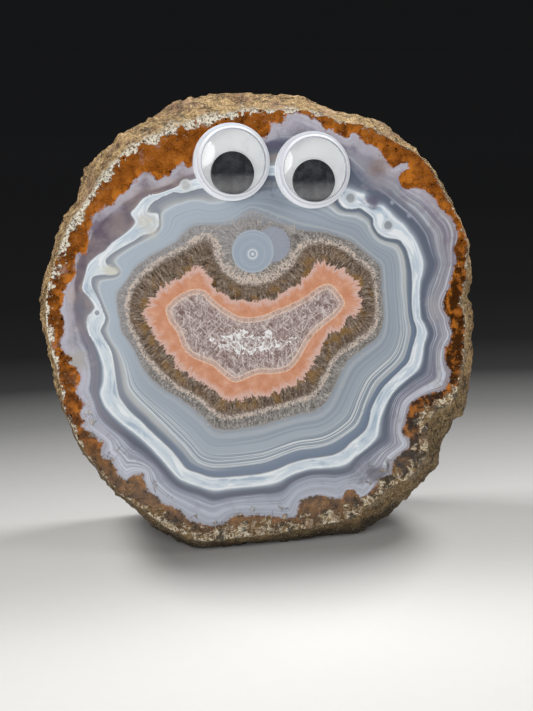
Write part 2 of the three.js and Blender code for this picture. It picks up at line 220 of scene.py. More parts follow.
def rounded(outline, steps=3):
    """Closed Catmull-Rom curve: between two corners a cubic that leaves each along its neighbours' chord."""
    before, here, after, beyond = (np.roll(outline, shift, axis=0) for shift in (1, 0, -1, -2))
    t = np.linspace(0, 1, steps, endpoint=False)[:, None, None]
    curve = 0.5 * (2 * here + (after - before) * t
                   + (2 * before - 5 * here + 4 * after - beyond) * t**2
                   + (3 * here - before - 3 * after + beyond) * t**3)
    return curve.transpose(1, 0, 2).reshape(-1, 2)


def inside_by(points, outline):
    """Distance to the nearest side of a closed outline, positive inside, and the share of the way round it.

    A side is a + t * (b - a); t is the foot of the perpendicular, held between 0 and 1. A point is inside
    where a ray to its right crosses an odd number of sides.
    """
    a = outline.astype(np.float32)
    side = np.roll(a, -1, axis=0) - a
    length = np.hypot(*side.T)
    travelled = np.concatenate([[0.0], np.cumsum(length)])
    rise = np.where(side[:, 1] == 0, 1e-9, side[:, 1])
    gaps, shares = [], []
    for some in np.array_split(points.astype(np.float32), max(1, len(points) // CHUNK)):
        off = some[:, None] - a
        t = np.clip((off * side).sum(2) / length**2, 0, 1)
        gap = np.hypot(*np.moveaxis(off - t[..., None] * side, 2, 0))
        nearest = gap.argmin(1)
        rows = np.arange(len(some))
        spans = (off[..., 1] < 0) != (off[..., 1] - side[:, 1] < 0)
        crossed = spans & (off[..., 0] < side[:, 0] * off[..., 1] / rise)
        gaps.append(np.where(crossed.sum(1) % 2 == 1, 1, -1) * gap[rows, nearest])
        shares.append((travelled[nearest] + t[rows, nearest] * length[nearest]) / travelled[-1])
    return np.concatenate(gaps), np.concatenate(shares)


CURVES = [rounded(outline) for outline in BOUNDARIES]
reach, _ = inside_by(np.array([[0.0, 0.0], [60.0, 0.0]]), CURVES[0])
print("the middle lies", round(float(reach[0]), 1), "mm inside the rim")

# %% [markdown]
# ## One number that counts the bands
#
# With ten nested curves, every point of the face gets a band number: 0 at the rim, 1 at the edge of the
# mossy border, 3 to 4 in the white band, 6 at the edge of the crystals, 9 where the core begins. Between
# two curves it rises evenly, by the share of the way from one to the other. The shader then colours the
# stone by this one number, as a paint-by-numbers sheet.

# %% Band number of many points
CRYSTALS_FROM = 6  # number of the curve where the crystals begin
DARK_EDGE = 7  # number of the curve that gives the crystals their direction
SALMON = 8  # number of the curve round the salmon band
DISC_STEP = 3.2  # millimetres outwards from the blue disc over which the crystals' band count rises by one
GROWTH_FROM = 2.0  # height on the face of the point that the clean bands are taken to circle


def band_of(points):
    """Band number, three distances in mm (inside rim, moss edge and salmon) and the direction of growth.

    With s(k) the distance inside curve k, and k the last curve that holds the point,
    band = k + s(k) / (s(k) - s(k + 1)).
    """
    measured = [inside_by(points, curve) for curve in CURVES]
    inside = np.array([m[0] for m in measured])
    held = np.cumprod(inside > 0, axis=0)
    core = len(CURVES) - 1
    last = np.clip(held.sum(0) - 1, 0, core)
    rows = np.arange(len(points))
    here = np.maximum(inside[last, rows], 0)
    beyond = np.abs(inside[np.minimum(last + 1, core), rows])
    share = np.where(last == core, np.minimum(here / CORE_WIDTH, 1), here / np.maximum(here + beyond, 1e-6))
    band = last + share
    turn = np.where(band >= CRYSTALS_FROM, 2 * np.pi * measured[DARK_EDGE][1],
                    np.arctan2(points[:, 1] - GROWTH_FROM, points[:, 0]))
    off = points - np.array(DISC)
    from_disc = np.hypot(*off.T)
    round_disc = (band >= CRYSTALS_FROM) & (band < SALMON) & (from_disc < DISC_REACH)
    turn = np.where(round_disc, DISC_TURN * np.arctan2(off[:, 0], -off[:, 1]), turn)
    count = np.where(round_disc, CRYSTALS_FROM + from_disc / DISC_STEP, band)
    grow = np.stack([np.cos(turn), np.sin(turn), count], axis=1)
    return band, np.stack([inside[0], inside[1], inside[SALMON]], axis=1), grow


print("band number in the middle of the face:", round(float(band_of(np.zeros((1, 2)))[0][0]), 2))

# %% [markdown]
# ## Natural roughness
#
# The rind of a nodule is lumpy at every scale. Gradient noise is the usual recipe: a lattice of fixed
# slopes, blended smoothly between its corners. Written with numpy it shapes the real mesh, so that the
# lumps show in the silhouette too, which a bump map alone can't do.

# %% Gradient noise on arrays
rng = np.random.default_rng(11)
SHUFFLE = rng.permutation(256)
SLOPES = rng.normal(size=(256, 3))
SLOPES /= np.linalg.norm(SLOPES, axis=1)[:, None]


def grain(points, size, seed):
    """Noise from about -0.6 to 0.6 with lumps as wide as size: the slopes at the eight corners of a cell,
    times the way to each corner, blended by 6t^5 - 15t^4 + 10t^3."""
    q = points / size + seed * np.array([1.0, 1.7, 2.3])
    cell = np.floor(q).astype(int)
    t = q - cell
    blend = t**3 * (t * (6 * t - 15) + 10)
    total = np.zeros(q.shape[:-1])
    for corner in np.ndindex(2, 2, 2):
        i = (cell + corner) & 255
        pick = SHUFFLE[(SHUFFLE[(SHUFFLE[i[..., 0]] + i[..., 1]) & 255] + i[..., 2]) & 255]
        weight = np.prod(np.where(np.array(corner) == 1, blend, 1 - blend), axis=-1)
        total += weight * np.sum(SLOPES[pick] * (t - corner), axis=-1)
    return total


sample = grain(rng.uniform(0, 90, (4000, 3)), 11.0, 7.3)
print("noise runs from", round(sample.min(), 2), "to", round(sample.max(), 2))

# %% [markdown]
# ## The outside of the stone
#
# Seen from the front the rind swells out behind the sharp sawn rim, more on the top and on the lower
# right than on the left, and draws in again towards the back. Two small tables hold that: how far it
# swells in each direction, and what share of the swell it has at each depth. Lumps, ledges and grit are
# then added along the radius, weaker at the two sawn edges.

# %% Radius of the rind at each direction and depth
SWELL_AT = [0, 8, 20, 34, 42, 54, 62, 78, 90, 106, 116, 126, 135, 141, 150, 165, 174, 186, 198, 210, 225, 240,
            258, 284, 294, 300, 306, 313, 318, 324, 330, 337, 343, 350, 360]
SWELL_OUT = [5.4, 4.9, 2.2, 2.3, 2, 4.2, 3.6, 4.2, 5.3, 5.7, 4, 3.2, 3, 0.8, 0.4, -1.2, -0.4, -0.2, -0.9, 0,
             0.3, 2, 3.5, 4.9, 6.1, 8.6, 9.4, 7, 6.8, 10, 11.4, 6.8, 5.4, 5.4, 5.4]
FLANK_DEPTH = [0, 1, 2.4, 4, 6, 8.4, 11, 14, 17.5, 21, 24.5, 28, 31.5, 34.5, 36.8, 38]
FLANK_SHARE = [0, 0.22, 0.45, 0.66, 0.84, 0.95, 1, 1, 0.97, 0.9, 0.8, 0.66, 0.48, 0.28, 0.06, -0.2]
TAPER = 1.6  # millimetres by which the radius shrinks from the face to the back
SMOOTH_EDGE = 0.25  # share of the roughness that is left at the two sawn edges
HOLLOW = {"at": 327, "depth": 5.5, "width": 8, "sink": 2.6}  # degrees round the face, then millimetres

rim_turn = np.arctan2(CURVES[0][:, 1], CURVES[0][:, 0])
rim_order = np.argsort(rim_turn)
rim_reach = np.hypot(*CURVES[0].T)


def rim_radius(turn):
    """Distance from the middle of the face to its rim in the direction turn, read off the rounded outline."""
    return np.interp(turn, rim_turn[rim_order], rim_reach[rim_order], period=2 * np.pi)


def roughness(across, up, depth):
    """How far the rind stands out, in mm: broad lumps, ridges where a finer noise crosses zero, then grit."""
    at = np.stack([across, depth, up], axis=-1)
    ridges = 0.5 - 2 * np.abs(grain(at, 5.2, 3.1))
    pits = -np.maximum(0, grain(at, 1.7, 5.9) - 0.18)
    return (1.4 * grain(at, 11.0, 7.3) + 1.0 * ridges + 0.95 * grain(at, 2.4, 9.7)
            + 0.60 * grain(at, 1.1, 2.2) + 1.1 * pits)


def rind(turn, depth):
    """Across, up and depth of the rind: rim radius + swell share - taper - hollow + roughness, along turn."""
    degrees = np.degrees(turn) % 360
    swell = np.interp(degrees, SWELL_AT, SWELL_OUT) * np.interp(depth, FLANK_DEPTH, FLANK_SHARE)
    radius = rim_radius(turn) + swell - TAPER * (depth / THICKNESS) ** 2
    way_round = radius * np.radians(np.abs(degrees - HOLLOW["at"]))
    near = np.hypot(way_round, depth - HOLLOW["depth"]) / HOLLOW["width"]
    sunk = HOLLOW["sink"] * np.maximum(0, 1 - near**2) * np.minimum(1, depth)
    middle = np.sqrt(np.maximum(np.sin(np.pi * depth / THICKNESS), 0))
    share = SMOOTH_EDGE + (1 - SMOOTH_EDGE) * middle
    radius = radius - sunk + share * roughness(radius * np.cos(turn), radius * np.sin(turn), depth)
    return radius * np.cos(turn), radius * np.sin(turn), depth


turns = np.linspace(0, 2 * np.pi, 720)
print("widest at mid depth:", round(float(np.ptp(rind(turns, np.full(720, 12.0))[0])), 1), "mm")

# %% [markdown]
# ## One closed skin for the stone
#
# The stone is one natural piece, so it is one closed mesh. A disc is awkward to grid: rings crowd at the
# middle. The trick used here is to take a square grid and bend it into a disc, which keeps all cells
# about equally large. Its outer line then feeds straight into the rows of the rind, and a coarser square
# bent the same way closes the sawn back.

# %% A square grid bent into a disc
FACE_CELLS = 220
BACK_CELLS = 110
RIND_ROWS = 36
CROWDING = 1.35  # power that draws the rows of the rind together towards the face
BACK_LIP = 0.985  # the sawn back reaches this share of the way out, and a narrow lip joins it to the rind


def bent_square(cells):
    """Share of the radius and direction of a square grid bent into a disc.

    In the left and right quarters radius = x and turn = 45 degrees * y / x; in the others radius = y and
    turn = 90 - 45 * x / y degrees.
    """
    line = np.linspace(-1, 1, cells + 1)
    x, y = np.meshgrid(line, line)
    sideways = np.abs(x) >= np.abs(y)
    radius = np.where(sideways, x, y)
    safe = np.where(radius == 0, 1, radius)
    turn = np.where(sideways, np.pi / 4 * y / safe, np.pi / 2 - np.pi / 4 * x / safe)
    return np.abs(radius).ravel(), np.where(radius < 0, turn + np.pi, turn).ravel()


def grid_numbers(cells):
    """Numbers of the grid's points, and those of its outer line anticlockwise from its lower right corner."""
    grid = np.arange((cells + 1) ** 2).reshape(cells + 1, cells + 1)
    return grid, np.concatenate([grid[:-1, -1], grid[-1, :0:-1], grid[:0:-1, 0], grid[0, :-1]])


def quads(*corners):
    """Four-cornered faces from four arrays with the numbers of their corners, in order round the face."""
    return np.stack(corners, axis=-1).reshape(-1, 4)


def grid_faces(grid):
    """Four corners of each cell of a square grid, anticlockwise."""
    return quads(grid[:-1, :-1], grid[:-1, 1:], grid[1:, 1:], grid[1:, :-1])


def flat_points(reach, turn, depth):
    """Rows of across, up and depth on a flat cut."""
    return np.stack([reach * np.cos(turn), reach * np.sin(turn), np.full(len(turn), depth)], axis=1)


print(4 * FACE_CELLS, "points round the rim")

# %% Points of the stone
face_share, face_turn = bent_square(FACE_CELLS)
face_grid, rim_line = grid_numbers(FACE_CELLS)
rim_across, rim_up, _ = rind(face_turn[rim_line], np.zeros(len(rim_line)))
order = np.argsort(face_turn[rim_line] % (2 * np.pi))
edge_turn = (face_turn[rim_line] % (2 * np.pi))[order]
edge_reach = np.hypot(rim_across, rim_up)[order]


def edge_radius(turn):
    """Distance from the middle to the real, slightly chipped edge of the face."""
    return np.interp(turn % (2 * np.pi), edge_turn, edge_reach, period=2 * np.pi)


face_points = flat_points(face_share * edge_radius(face_turn), face_turn, 0.0)
depths = THICKNESS * (np.arange(1, RIND_ROWS + 1) / RIND_ROWS) ** CROWDING
row_turn, row_depth = np.meshgrid(face_turn[rim_line], depths)
rind_points = np.stack(rind(row_turn, row_depth), axis=-1).reshape(-1, 3)

back_share, back_turn = bent_square(BACK_CELLS)
back_grid, back_line = grid_numbers(BACK_CELLS)
last_across, last_up, _ = rind(back_turn, np.full(len(back_turn), THICKNESS))
back_points = np.stack([BACK_LIP * back_share * last_across, BACK_LIP * back_share * last_up,
                        np.full(len(back_turn), THICKNESS)], axis=1)
stone_mm = np.concatenate([face_points, rind_points, back_points])
print(len(stone_mm), "points, rows of the rind from", round(depths[0], 2), "to",
      round(depths[-1], 1), "mm deep")

# %% Faces of the stone
face_count = len(face_points)
back_start = face_count + len(rind_points)
rows = np.concatenate([rim_line, face_count + np.arange(len(rind_points))]).reshape(-1, len(rim_line))
nearer, deeper = rows[:-1], rows[1:]
rind_faces = quads(nearer, deeper, np.roll(deeper, -1, axis=1), np.roll(nearer, -1, axis=1))
outer = rows[-1]
inner = back_start + back_line
inner_next = np.roll(inner, -1)
first, middle, third = outer[0::2], outer[1::2], np.roll(outer, -2)[0::2]
lip_faces = np.concatenate([np.stack(three, axis=1) for three in (
    (first, inner, middle), (middle, inner, inner_next), (middle, inner_next, third))])
stone_faces = [grid_faces(face_grid), rind_faces, lip_faces, back_start + grid_faces(back_grid)[:, ::-1]]
print("triangles:", sum(len(f) * (f.shape[1] - 2) for f in stone_faces))

# %% [markdown]
# ## Ground flat to stand on
#
# The stone stands on the floor on a flat patch that was ground on its rim. Points that would go below
# the floor are lifted onto it, which makes the same flat patch. The other bounds only shave a few
# tenths of a millimetre off stray lumps, so that the finished stone keeps the measured size.

# %% Put the stone in its place
low, high = (np.array(list(corner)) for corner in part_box("agate_slice"))
stone_places = np.clip(place(*stone_mm.T), low, high)
print("stone in mm, low and high:", np.round(stone_places.min(0) / MM, 2),
      np.round(stone_places.max(0) / MM, 2))

# %% [markdown]
# ## What each point tells the shader
#
# The band number, the three distances and the direction of growth are stored on the points as
# attributes. So are the face's own millimetres, because they stay the same whatever the stone's pose,
# and every noise in the materials reads them. The back was sawn from the same nodule, so it shows the
# same bands, shifted and bent as they would be 38 mm further in.

# %% Attributes of the stone
BACK_SHIFT = np.array([2.5, -3.0])  # how far the pattern has moved at the back, in millimetres
BACK_BEND = 14  # how strongly a broad noise bends it

face_band, face_edges, face_grow = band_of(face_points[:, :2])
back_reach = back_share * edge_radius(back_turn)
inwards = np.clip((1 - back_share) * 3, 0, 1)[:, None]
drift = np.stack([grain(back_points, 26.0, 4.4), grain(back_points, 26.0, 8.8)], axis=1)
back_map = flat_points(back_reach, back_turn, 0.0)[:, :2] + (BACK_BEND * drift + BACK_SHIFT) * inwards
back_band, back_edges, back_grow = band_of(back_map)
rind_count = len(rind_points)
stone_attributes = {
    "where": stone_mm,
    "band": np.concatenate([face_band, np.zeros(rind_count), back_band]),
    "edges": np.concatenate([face_edges, np.zeros((rind_count, 3)), back_edges]),
    "grow": np.concatenate([face_grow, np.tile([1.0, 0.0, 0.0], (rind_count, 1)), back_grow])}
print("band numbers reach", round(float(face_band.max()), 2), "on the face and",
      round(float(back_band.max()), 2), "on the back")

# %% [markdown]
# ## From arrays to a mesh
#
# One helper makes every piece: it takes places in metres and lists of faces, gives each list its
# material slot, shades it smooth, and stores the attributes. Places are already in the row frame, so the
# object itself stays at the origin, unturned.

# %% Make a piece


def make_piece(name, places, face_lists, materials, slots=(0,), attributes=None, sharp=60):
    """A mesh object from points and lists of faces; slots gives the material number of each list.

    Edges whose two faces meet at more than sharp degrees stay crisp while the rest is shaded smooth.
    """
    mesh = bpy.data.meshes.new(name)
    faces = [face for some in face_lists for face in some.tolist()]
    mesh.from_pydata(places.tolist(), [], faces)
    for material in materials:
        mesh.materials.append(material)
    numbers = np.concatenate([np.full(len(f), s) for f, s in zip(face_lists, slots)])
    mesh.polygons.foreach_set("material_index", numbers.astype(np.int32))
    mesh.polygons.foreach_set("use_smooth", np.ones(len(faces), bool))
    for key, values in (attributes or {}).items():
        kind, field = ("FLOAT", "value") if values.ndim == 1 else ("FLOAT_VECTOR", "vector")
        made = mesh.attributes.new(key, kind, "POINT")
        made.data.foreach_set(field, values.astype(np.float32).ravel())
    mesh.update()
    mesh.set_sharp_from_angle(angle=math.radians(sharp))
    piece = bpy.data.objects.new(name, mesh)
    bpy.context.scene.collection.objects.link(piece)
    print(name, len(places), "points", len(faces), "faces")
    return piece


# %% [markdown]
# ## Shader maths written as Python
#
# A material here is a long sum of small parts: a colour by band number, minus some noise, times a mask.
# Wiring that by hand takes hundreds of lines. Instead, one small class wraps the output of a node, so
# that a + b or 1 - a adds the Math node for it, and another makes any other node and has short names for
# the few patterns that come back all the time: a soft step, a window, a line, and a stack of colours.

# %% The wrapper


def sign(operation, swapped=False):
    """What one of Python's signs does between two values: add the Math node that works it out."""
    if swapped:
        return lambda self, other: self.maths(operation, other, self)
    return lambda self, other: self.maths(operation, self, other)


class Wire:
    """The output of a node. Python's own signs between wires and numbers add Math nodes."""

    __add__, __radd__ = sign("ADD"), sign("ADD", True)
    __sub__, __rsub__ = sign("SUBTRACT"), sign("SUBTRACT", True)
    __mul__ = sign("MULTIPLY")
    __truediv__ = sign("DIVIDE")
    __pow__ = sign("POWER")
    most = sign("MAXIMUM")

    def __init__(self, finish, socket):
        self.finish = finish
        self.socket = socket

    def __neg__(self):
        return self.maths("MULTIPLY", self, -1.0)

    def __abs__(self):
        return self.maths("ABSOLUTE", self)

    def maths(self, operation, *values):
        return self.finish.node("ShaderNodeMath", {"operation": operation}, values)

    def other(self, name):
        """Another output of the same node."""
        return Wire(self.finish, self.socket.node.outputs[name])


class Finish:
    """One material, with short ways to make the nodes that these finishes use."""

    def __init__(self, name):
        self.material = bpy.data.materials.new(name)
        self.material.use_nodes = True
        self.tree = self.material.node_tree
        self.tree.nodes.clear()

    def node(self, kind, settings=None, inputs=None, out=0):
        """Any node: its type, its settings, then values or wires for its inputs by name or by number."""
        made = self.tree.nodes.new(kind)
        for key, value in (settings or {}).items():
            setattr(made, key, value)
        pairs = inputs.items() if isinstance(inputs, dict) else enumerate(inputs or ())
        for key, value in pairs:
            if isinstance(value, Wire):
                self.tree.links.new(value.socket, made.inputs[key])
            else:
                made.inputs[key].default_value = value
        return Wire(self, made.outputs[out]) if made.outputs else None

    def read(self, attribute, out="Vector"):
        return self.node("ShaderNodeAttribute", {"attribute_name": attribute}, out=out)

    def split(self, vector):
        x = self.node("ShaderNodeSeparateXYZ", None, [vector])
        return x, x.other("Y"), x.other("Z")

    def join(self, x, y, z):
        return self.node("ShaderNodeCombineXYZ", None, [x, y, z])

    def vector(self, operation, first, second, out=0):
        return self.node("ShaderNodeVectorMath", {"operation": operation}, [first, second], out)

    def dot(self, vector, along):
        return self.vector("DOT_PRODUCT", vector, along, "Value")

    def stretch(self, vector, by):
        return self.vector("MULTIPLY", vector, by)

    def noise(self, where, size, detail=3.0, rough=0.55, twist=0.0):
        """Cloudy noise around 0.5 with lumps about as wide as size."""
        return self.node("ShaderNodeTexNoise", None, {
            "Vector": where, "Scale": 1 / size, "Detail": detail, "Roughness": rough, "Distortion": twist})

    def grown(self, grow, around, inwards, detail, rough=0.5, twist=0.0):
        """Noise that follows the growth, with so many lumps around the circle and so many in each band."""
        return self.noise(self.stretch(grow, (around, around, inwards)), 1.0, detail, rough, twist)

    def cells(self, where, size):
        """Distance from the middle of the nearest cell in a pattern of cells about as wide as size."""
        return self.node("ShaderNodeTexVoronoi", None, {"Vector": where, "Scale": 1 / size})

    def fade(self, value, low, high):
        """0 before low and 1 after high, with a soft S between; with low above high it falls instead."""
        return self.node("ShaderNodeMapRange", {"interpolation_type": "SMOOTHSTEP"}, [value, low, high])

    def window(self, value, rise, full, hold, fall):
        """Rises from 0 to 1 between the first two numbers, and falls back between the last two."""
        return self.fade(value, rise, full) * self.fade(value, fall, hold)

    def line(self, value, at, outer, inner):
        """1 where value is at, and 0 where it is further off than outer; between inner and outer it fades."""
        return self.fade(abs(value - at), outer, inner)

    def mix(self, below, above, share):
        """A colour between two others, by share."""
        return self.node("ShaderNodeMix", {"data_type": "RGBA"}, {0: share, 6: below, 7: above}, out=2)

    def lay(self, colour, *layers):
        """Lay thin coats over a colour, one by one: each is red, green, blue and how much it covers."""
        for *paint, share in layers:
            colour = self.mix(colour, tint(*paint), share)
        return colour

    def ramp(self, value, stops):
        """A colour read off a strip of colours at value."""
        strip = self.node("ShaderNodeValToRGB", None, [value])
        elements = strip.socket.node.color_ramp.elements
        while len(elements) < len(stops):
            elements.new(1.0)
        for element, (at, colour) in zip(elements, stops):
            element.position = at
            element.color = colour
        return strip

    def shine(self, colour, rough, normal=None, **constants):
        """The Principled surface: colour and roughness may vary, the rest is the same all over."""
        values = {"Base Color": colour, "Roughness": rough}
        if normal is not None:
            values["Normal"] = normal
        values.update({key.replace("_", " "): value for key, value in constants.items()})
        self.node("ShaderNodeOutputMaterial", None, [self.node("ShaderNodeBsdfPrincipled", None, values)])

    def relief(self, height, size, strength=1.0):
        """A bump: height times size metres, as a normal."""
        return self.node("ShaderNodeBump", None, {"Height": height, "Distance": size, "Strength": strength})


def tint(red, green, blue):
    """A colour as read off a screen, 0 to 255, as the light it stands for."""
    share = np.array([red, green, blue]) / 255
    light = np.where(share <= 0.04045, share / 12.92, ((share + 0.055) / 1.055) ** 2.4)
    return (*light.tolist(), 1.0)


def table(text):
    """Rows of numbers from text, one row per comma."""
    return [[float(x) for x in row.split()] for row in text.split(",")]


def stops(text):
    """The stops of a ramp from text: each is a place, then red, green and blue as read off a screen."""
    return [(at, tint(*paint)) for at, *paint in table(text)]


print("mid grey 128 is", round(tint(128, 128, 128)[0], 3), "of white light")

# %% [markdown]
# ## The agate pattern
#
# The polished face and the sawn back show the same pattern, so one function builds its colour for both.
# It goes from the rim inwards: a mossy, iron-stained border, cloudy lilac chalcedony with hair-thin
# lines, the slate and white bands, a blue-grey field, and the crystal zones with their salmon band.
# Ramps over the band number lay down the clean bands. Where a boundary is ragged, a noise is added to
# the distance before the mask is made, so the edge itself frays.

# %% Strips of colour for the clean bands
PALE_SIDE = """
1.00 160 156 164, 1.20 168 170 180, 1.48 164 168 179, 1.72 146 152 166, 1.87 116 121 136, 2.00 94 98 114,
2.45 102 109 124, 2.80 140 149 162, 2.96 180 190 200, 3.06 228 235 240, 3.50 208 219 228, 3.90 226 232 236,
4.00 180 186 193, 4.08 120 128 142, 4.34 118 127 142, 4.60 160 165 171, 4.82 180 182 184, 4.95 190 196 202,
5.02 212 218 222, 5.10 168 178 189, 5.50 168 178 189, 5.90 162 171 182"""
DULL_SIDE = """
1.00 154 145 150, 1.25 162 159 167, 1.50 156 157 165, 1.74 138 142 153, 1.88 113 120 135, 2.00 99 106 122,
2.45 107 114 129, 2.80 142 151 164, 2.96 176 187 198, 3.06 216 226 235, 3.50 200 212 223, 3.90 214 223 231,
4.00 168 176 185, 4.08 108 118 132, 4.34 110 120 135, 4.60 154 160 166, 4.82 176 179 181, 4.95 184 191 196,
5.02 204 211 217, 5.10 159 169 180, 5.50 158 168 179, 5.90 154 163 174"""


def strip_over(finish, band, text):
    """The colour strip of bands 1 to 6, read at the band number."""
    return finish.ramp((band - 1) / 5, [((at - 1) / 5, colour) for at, colour in stops(text)])


print(len(stops(PALE_SIDE)), "stops on each strip")

# %% [markdown]
# ### Lilac, slate, white and blue-grey
#
# The left and the bottom of the slice are paler than the top and the right, so two strips are mixed by
# place. Hair-thin growth lines are a noise that is stretched round the stone and squeezed across the
# bands: its coordinates are a small circle for the direction and a large multiple of the band number.

# %% The clean bands


def banded_colour(finish, where, across, up, band, grow):
    """Colour of bands 1 to 6: two strips by place, then coats for what changes round the stone."""
    fade, window, line, noise, grown = finish.fade, finish.window, finish.line, finish.noise, finish.grown
    wide = noise(where, 15.0, 2.0)
    cloud = noise(where, 3.2, 4.0, 0.6)
    wobble = (cloud - 0.5) * 0.10 + (wide - 0.5) * 0.05
    wavy = band + wobble * fade(band, 5.7, 5.2)
    side = fade(across * 0.9 + up * 0.8 + (wide - 0.5) * 40, -30.0, 30.0)
    colour = finish.mix(strip_over(finish, wavy, PALE_SIDE), strip_over(finish, wavy, DULL_SIDE), side)
    # the outer chalcedony: soft broad bands, hair lines, then clouds
    outside = window(band, 0.9, 1.1, 1.84, 1.98)
    soft = grown(grow, 1.0, 4.6, 2.0)
    hair = grown(grow, 1.3, 13.0, 4.0, 0.65)
    sharp_side = fade(across * 0.5 - up, -20.0, 16.0)
    calm = fade(up + abs(across) * 0.4, -20.0, -42.0)
    crisp = sharp_side * 0.6 + fade(noise(where, 13.0, 1.0), 0.40, 0.60) * 0.4
    crisp = outside * crisp * (1 - calm * 0.45)
    colour = finish.lay(
        colour,
        (196, 200, 214, fade(soft, 0.52, 0.64) * outside * 0.60),
        (116, 116, 138, fade(soft, 0.47, 0.36) * outside * 0.60),
        (218, 222, 232, fade(hair, 0.52, 0.60) * crisp * 0.75),
        (96, 98, 122, fade(hair, 0.47, 0.38) * crisp * 0.46),
        (128, 116, 130, fade(cloud, 0.52, 0.72) * outside * 0.40),
        (186, 196, 214, calm * outside * 0.30))
    # the white band: bluish streaks along the growth, and bright edges
    streak = grown(grow, 6.0, 2.6, 4.0, 0.6, 0.5)
    within = window(band, 3.02, 3.1, 3.92, 4.0)
    broken = fade(noise(where, 6.0, 2.0), 0.42, 0.58)
    colour = finish.lay(
        colour,
        (158, 178, 198, fade(streak, 0.50, 0.64) * within * (broken * 0.5 + 0.25)),
        (246, 248, 250, fade(streak, 0.48, 0.38) * within * 0.75),
        (240, 243, 246, line(wavy, 3.10, 0.10, 0.03).most(line(wavy, 3.93, 0.06, 0.02)) * 0.6))
    # the inner slate is broad at the bottom and pale at the left, with a pale stripe at the lower left
    south = fade(across * 0.55 - up, 4.0, 30.0)
    west = fade(up * 0.5 - across, 16.0, 34.0)
    east = fade(across, 24.0, 34.0) * fade(abs(up), 28.0, 18.0)
    south_west = fade(across * -1.4 - up, 44.0, 62.0)
    colour = finish.lay(
        colour,
        (116, 131, 153, window(band, 4.10, 4.22, 4.86, 4.96) * south * 0.85),
        (172, 174, 182, window(band, 4.05, 4.12, 4.5, 4.7) * west * 0.48),
        (206, 208, 206, line(wavy, 4.74, 0.20, 0.08) * (east * 0.6).most(south_west * 0.35)),
        (150, 148, 158, window(band, 1.8, 1.9, 2.4, 2.7) * west * 0.70))
    # fine white lines just inside band 5, then the blue-grey field
    thin = grown(grow, 0.8, 42.0, 1.0, 0.5, 0.2)
    near_line = window(band, 4.98, 5.02, 5.20, 5.48) * (fade(up, 14.0, -16.0) * 0.8 + 0.2)
    slow = grown(grow, 0.5, 15.0, 3.0)
    field = fade(band, 5.1, 5.3)
    north_west = fade(up * 0.8 - across, 12.0, 42.0)
    painted_eye_shadow = fade(up - abs(across - 4.0) * 0.4, 24.0, 32.0)
    return finish.lay(
        colour,
        (236, 238, 238, fade(thin, 0.52, 0.555) * near_line * 0.72),
        (104, 116, 128, fade(thin, 0.47, 0.40) * near_line * 0.55),
        (186, 198, 210, north_west * fade(band, 5.0, 5.1) * 0.62),
        # painted shadow of the eyes: a darker blue-grey on the face just under and beside them
        (116, 127, 140, painted_eye_shadow * fade(band, 4.98, 5.04) * 0.45),
        (172, 181, 190, fade(slow, 0.54, 0.68) * field * 0.34),
        (122, 132, 143, fade(slow, 0.46, 0.34) * field * 0.28))


# %% [markdown]
# ### Crystal zones
#
# Inside band 6 the stone turned from fine chalcedony to visible quartz needles, which point along the
# growth. The needle noise is squeezed round the stone and stretched across the bands, the opposite of
# the hair lines. A coarser one of the same kind pushes the edge of the salmon band in and out, which
# gives its jagged spikes.

# %% The crystals, the salmon band and the core


def crystal_colour(finish, where, band, grow, salmon):
    """Colour of bands 6 to 10, and the crystal texture that also roughens them."""
    fade, line, noise, grown = finish.fade, finish.line, finish.noise, finish.grown
    needles = grown(grow, 62.0, 2.8, 3.0, 0.65, 0.5)
    bundles = grown(grow, 22.0, 1.8, 3.0, 0.6, 0.5)
    spikes = grown(grow, 17.0, 0.9, 4.0, 0.66, 0.4)
    grit = noise(where, 0.42, 3.0, 0.8)
    texture = needles * 0.48 + grit * 0.34 + bundles * 0.18
    outer = finish.ramp(texture, stops("""
        0.34 74 68 62, 0.43 110 104 99, 0.50 140 135 131, 0.57 170 166 162, 0.66 214 209 204"""))
    dark = finish.ramp(texture, stops("""
        0.34 44 33 24, 0.43 82 67 55, 0.50 115 99 86, 0.58 150 135 122, 0.67 200 187 174"""))
    upper_left = fade(finish.dot(where, (-0.7, 0.7, 0.0)), 6.0, 26.0)
    outer = finish.lay(outer, (176, 176, 180, upper_left * 0.35))
    weave = band + (needles - 0.5) * 0.30 + (bundles - 0.5) * 0.45
    colour = finish.mix(outer, dark, fade(weave, 6.95, 7.30))
    golden = fade(noise(where, 4.0, 3.0), 0.46, 0.60) * fade(salmon, -4.5, -1.0)
    lace = line(noise(where, 1.1, 2.0, 0.6, 0.6), 0.5, 0.10, 0.02) * 0.8 + fade(grit, 0.48, 0.60) * 0.45
    colour = finish.lay(
        colour,
        (146, 108, 52, golden * 0.62),
        (220, 202, 188, line(weave, 7.0, 0.25, 0.05) * lace),
        # pale crystal specks, painted bright so that they also stand for painted glints
        (226, 218, 206, fade(grit, 0.62, 0.70) * 0.65))
    # the salmon band, pale at its spiky tips
    frayed = salmon + (spikes - 0.5) * 6.4 + (grit - 0.5) * 1.6
    tips = finish.ramp(grit, stops("0.3 206 168 158, 0.7 232 196 182"))
    body = finish.ramp(noise(where, 2.6, 4.0, 0.6) * 0.6 + grit * 0.4, stops("""
        0.38 206 140 106, 0.5 214 153 122, 0.64 224 174 148"""))
    colour = finish.mix(colour, finish.mix(tips, body, fade(frayed, 0.3, 2.0)), fade(frayed, -0.25, 0.15))
    # the core, and round it two dotted lines with a plain one between them
    hem = band + (grit - 0.5) * 0.10
    colour = finish.mix(colour, heart_colour(finish, where, band, needles, grit), fade(hem, 8.97, 9.03))
    dotted = fade(grit, 0.42, 0.55) * 0.7 + 0.3
    colour = finish.lay(
        colour,
        (240, 206, 182, line(hem, 8.98, 0.05, 0.015) * dotted),
        (214, 172, 150, line(hem, 9.09, 0.08, 0.04) * 0.45),
        (238, 216, 200, line(hem, 9.19, 0.04, 0.012) * dotted))
    return colour, texture


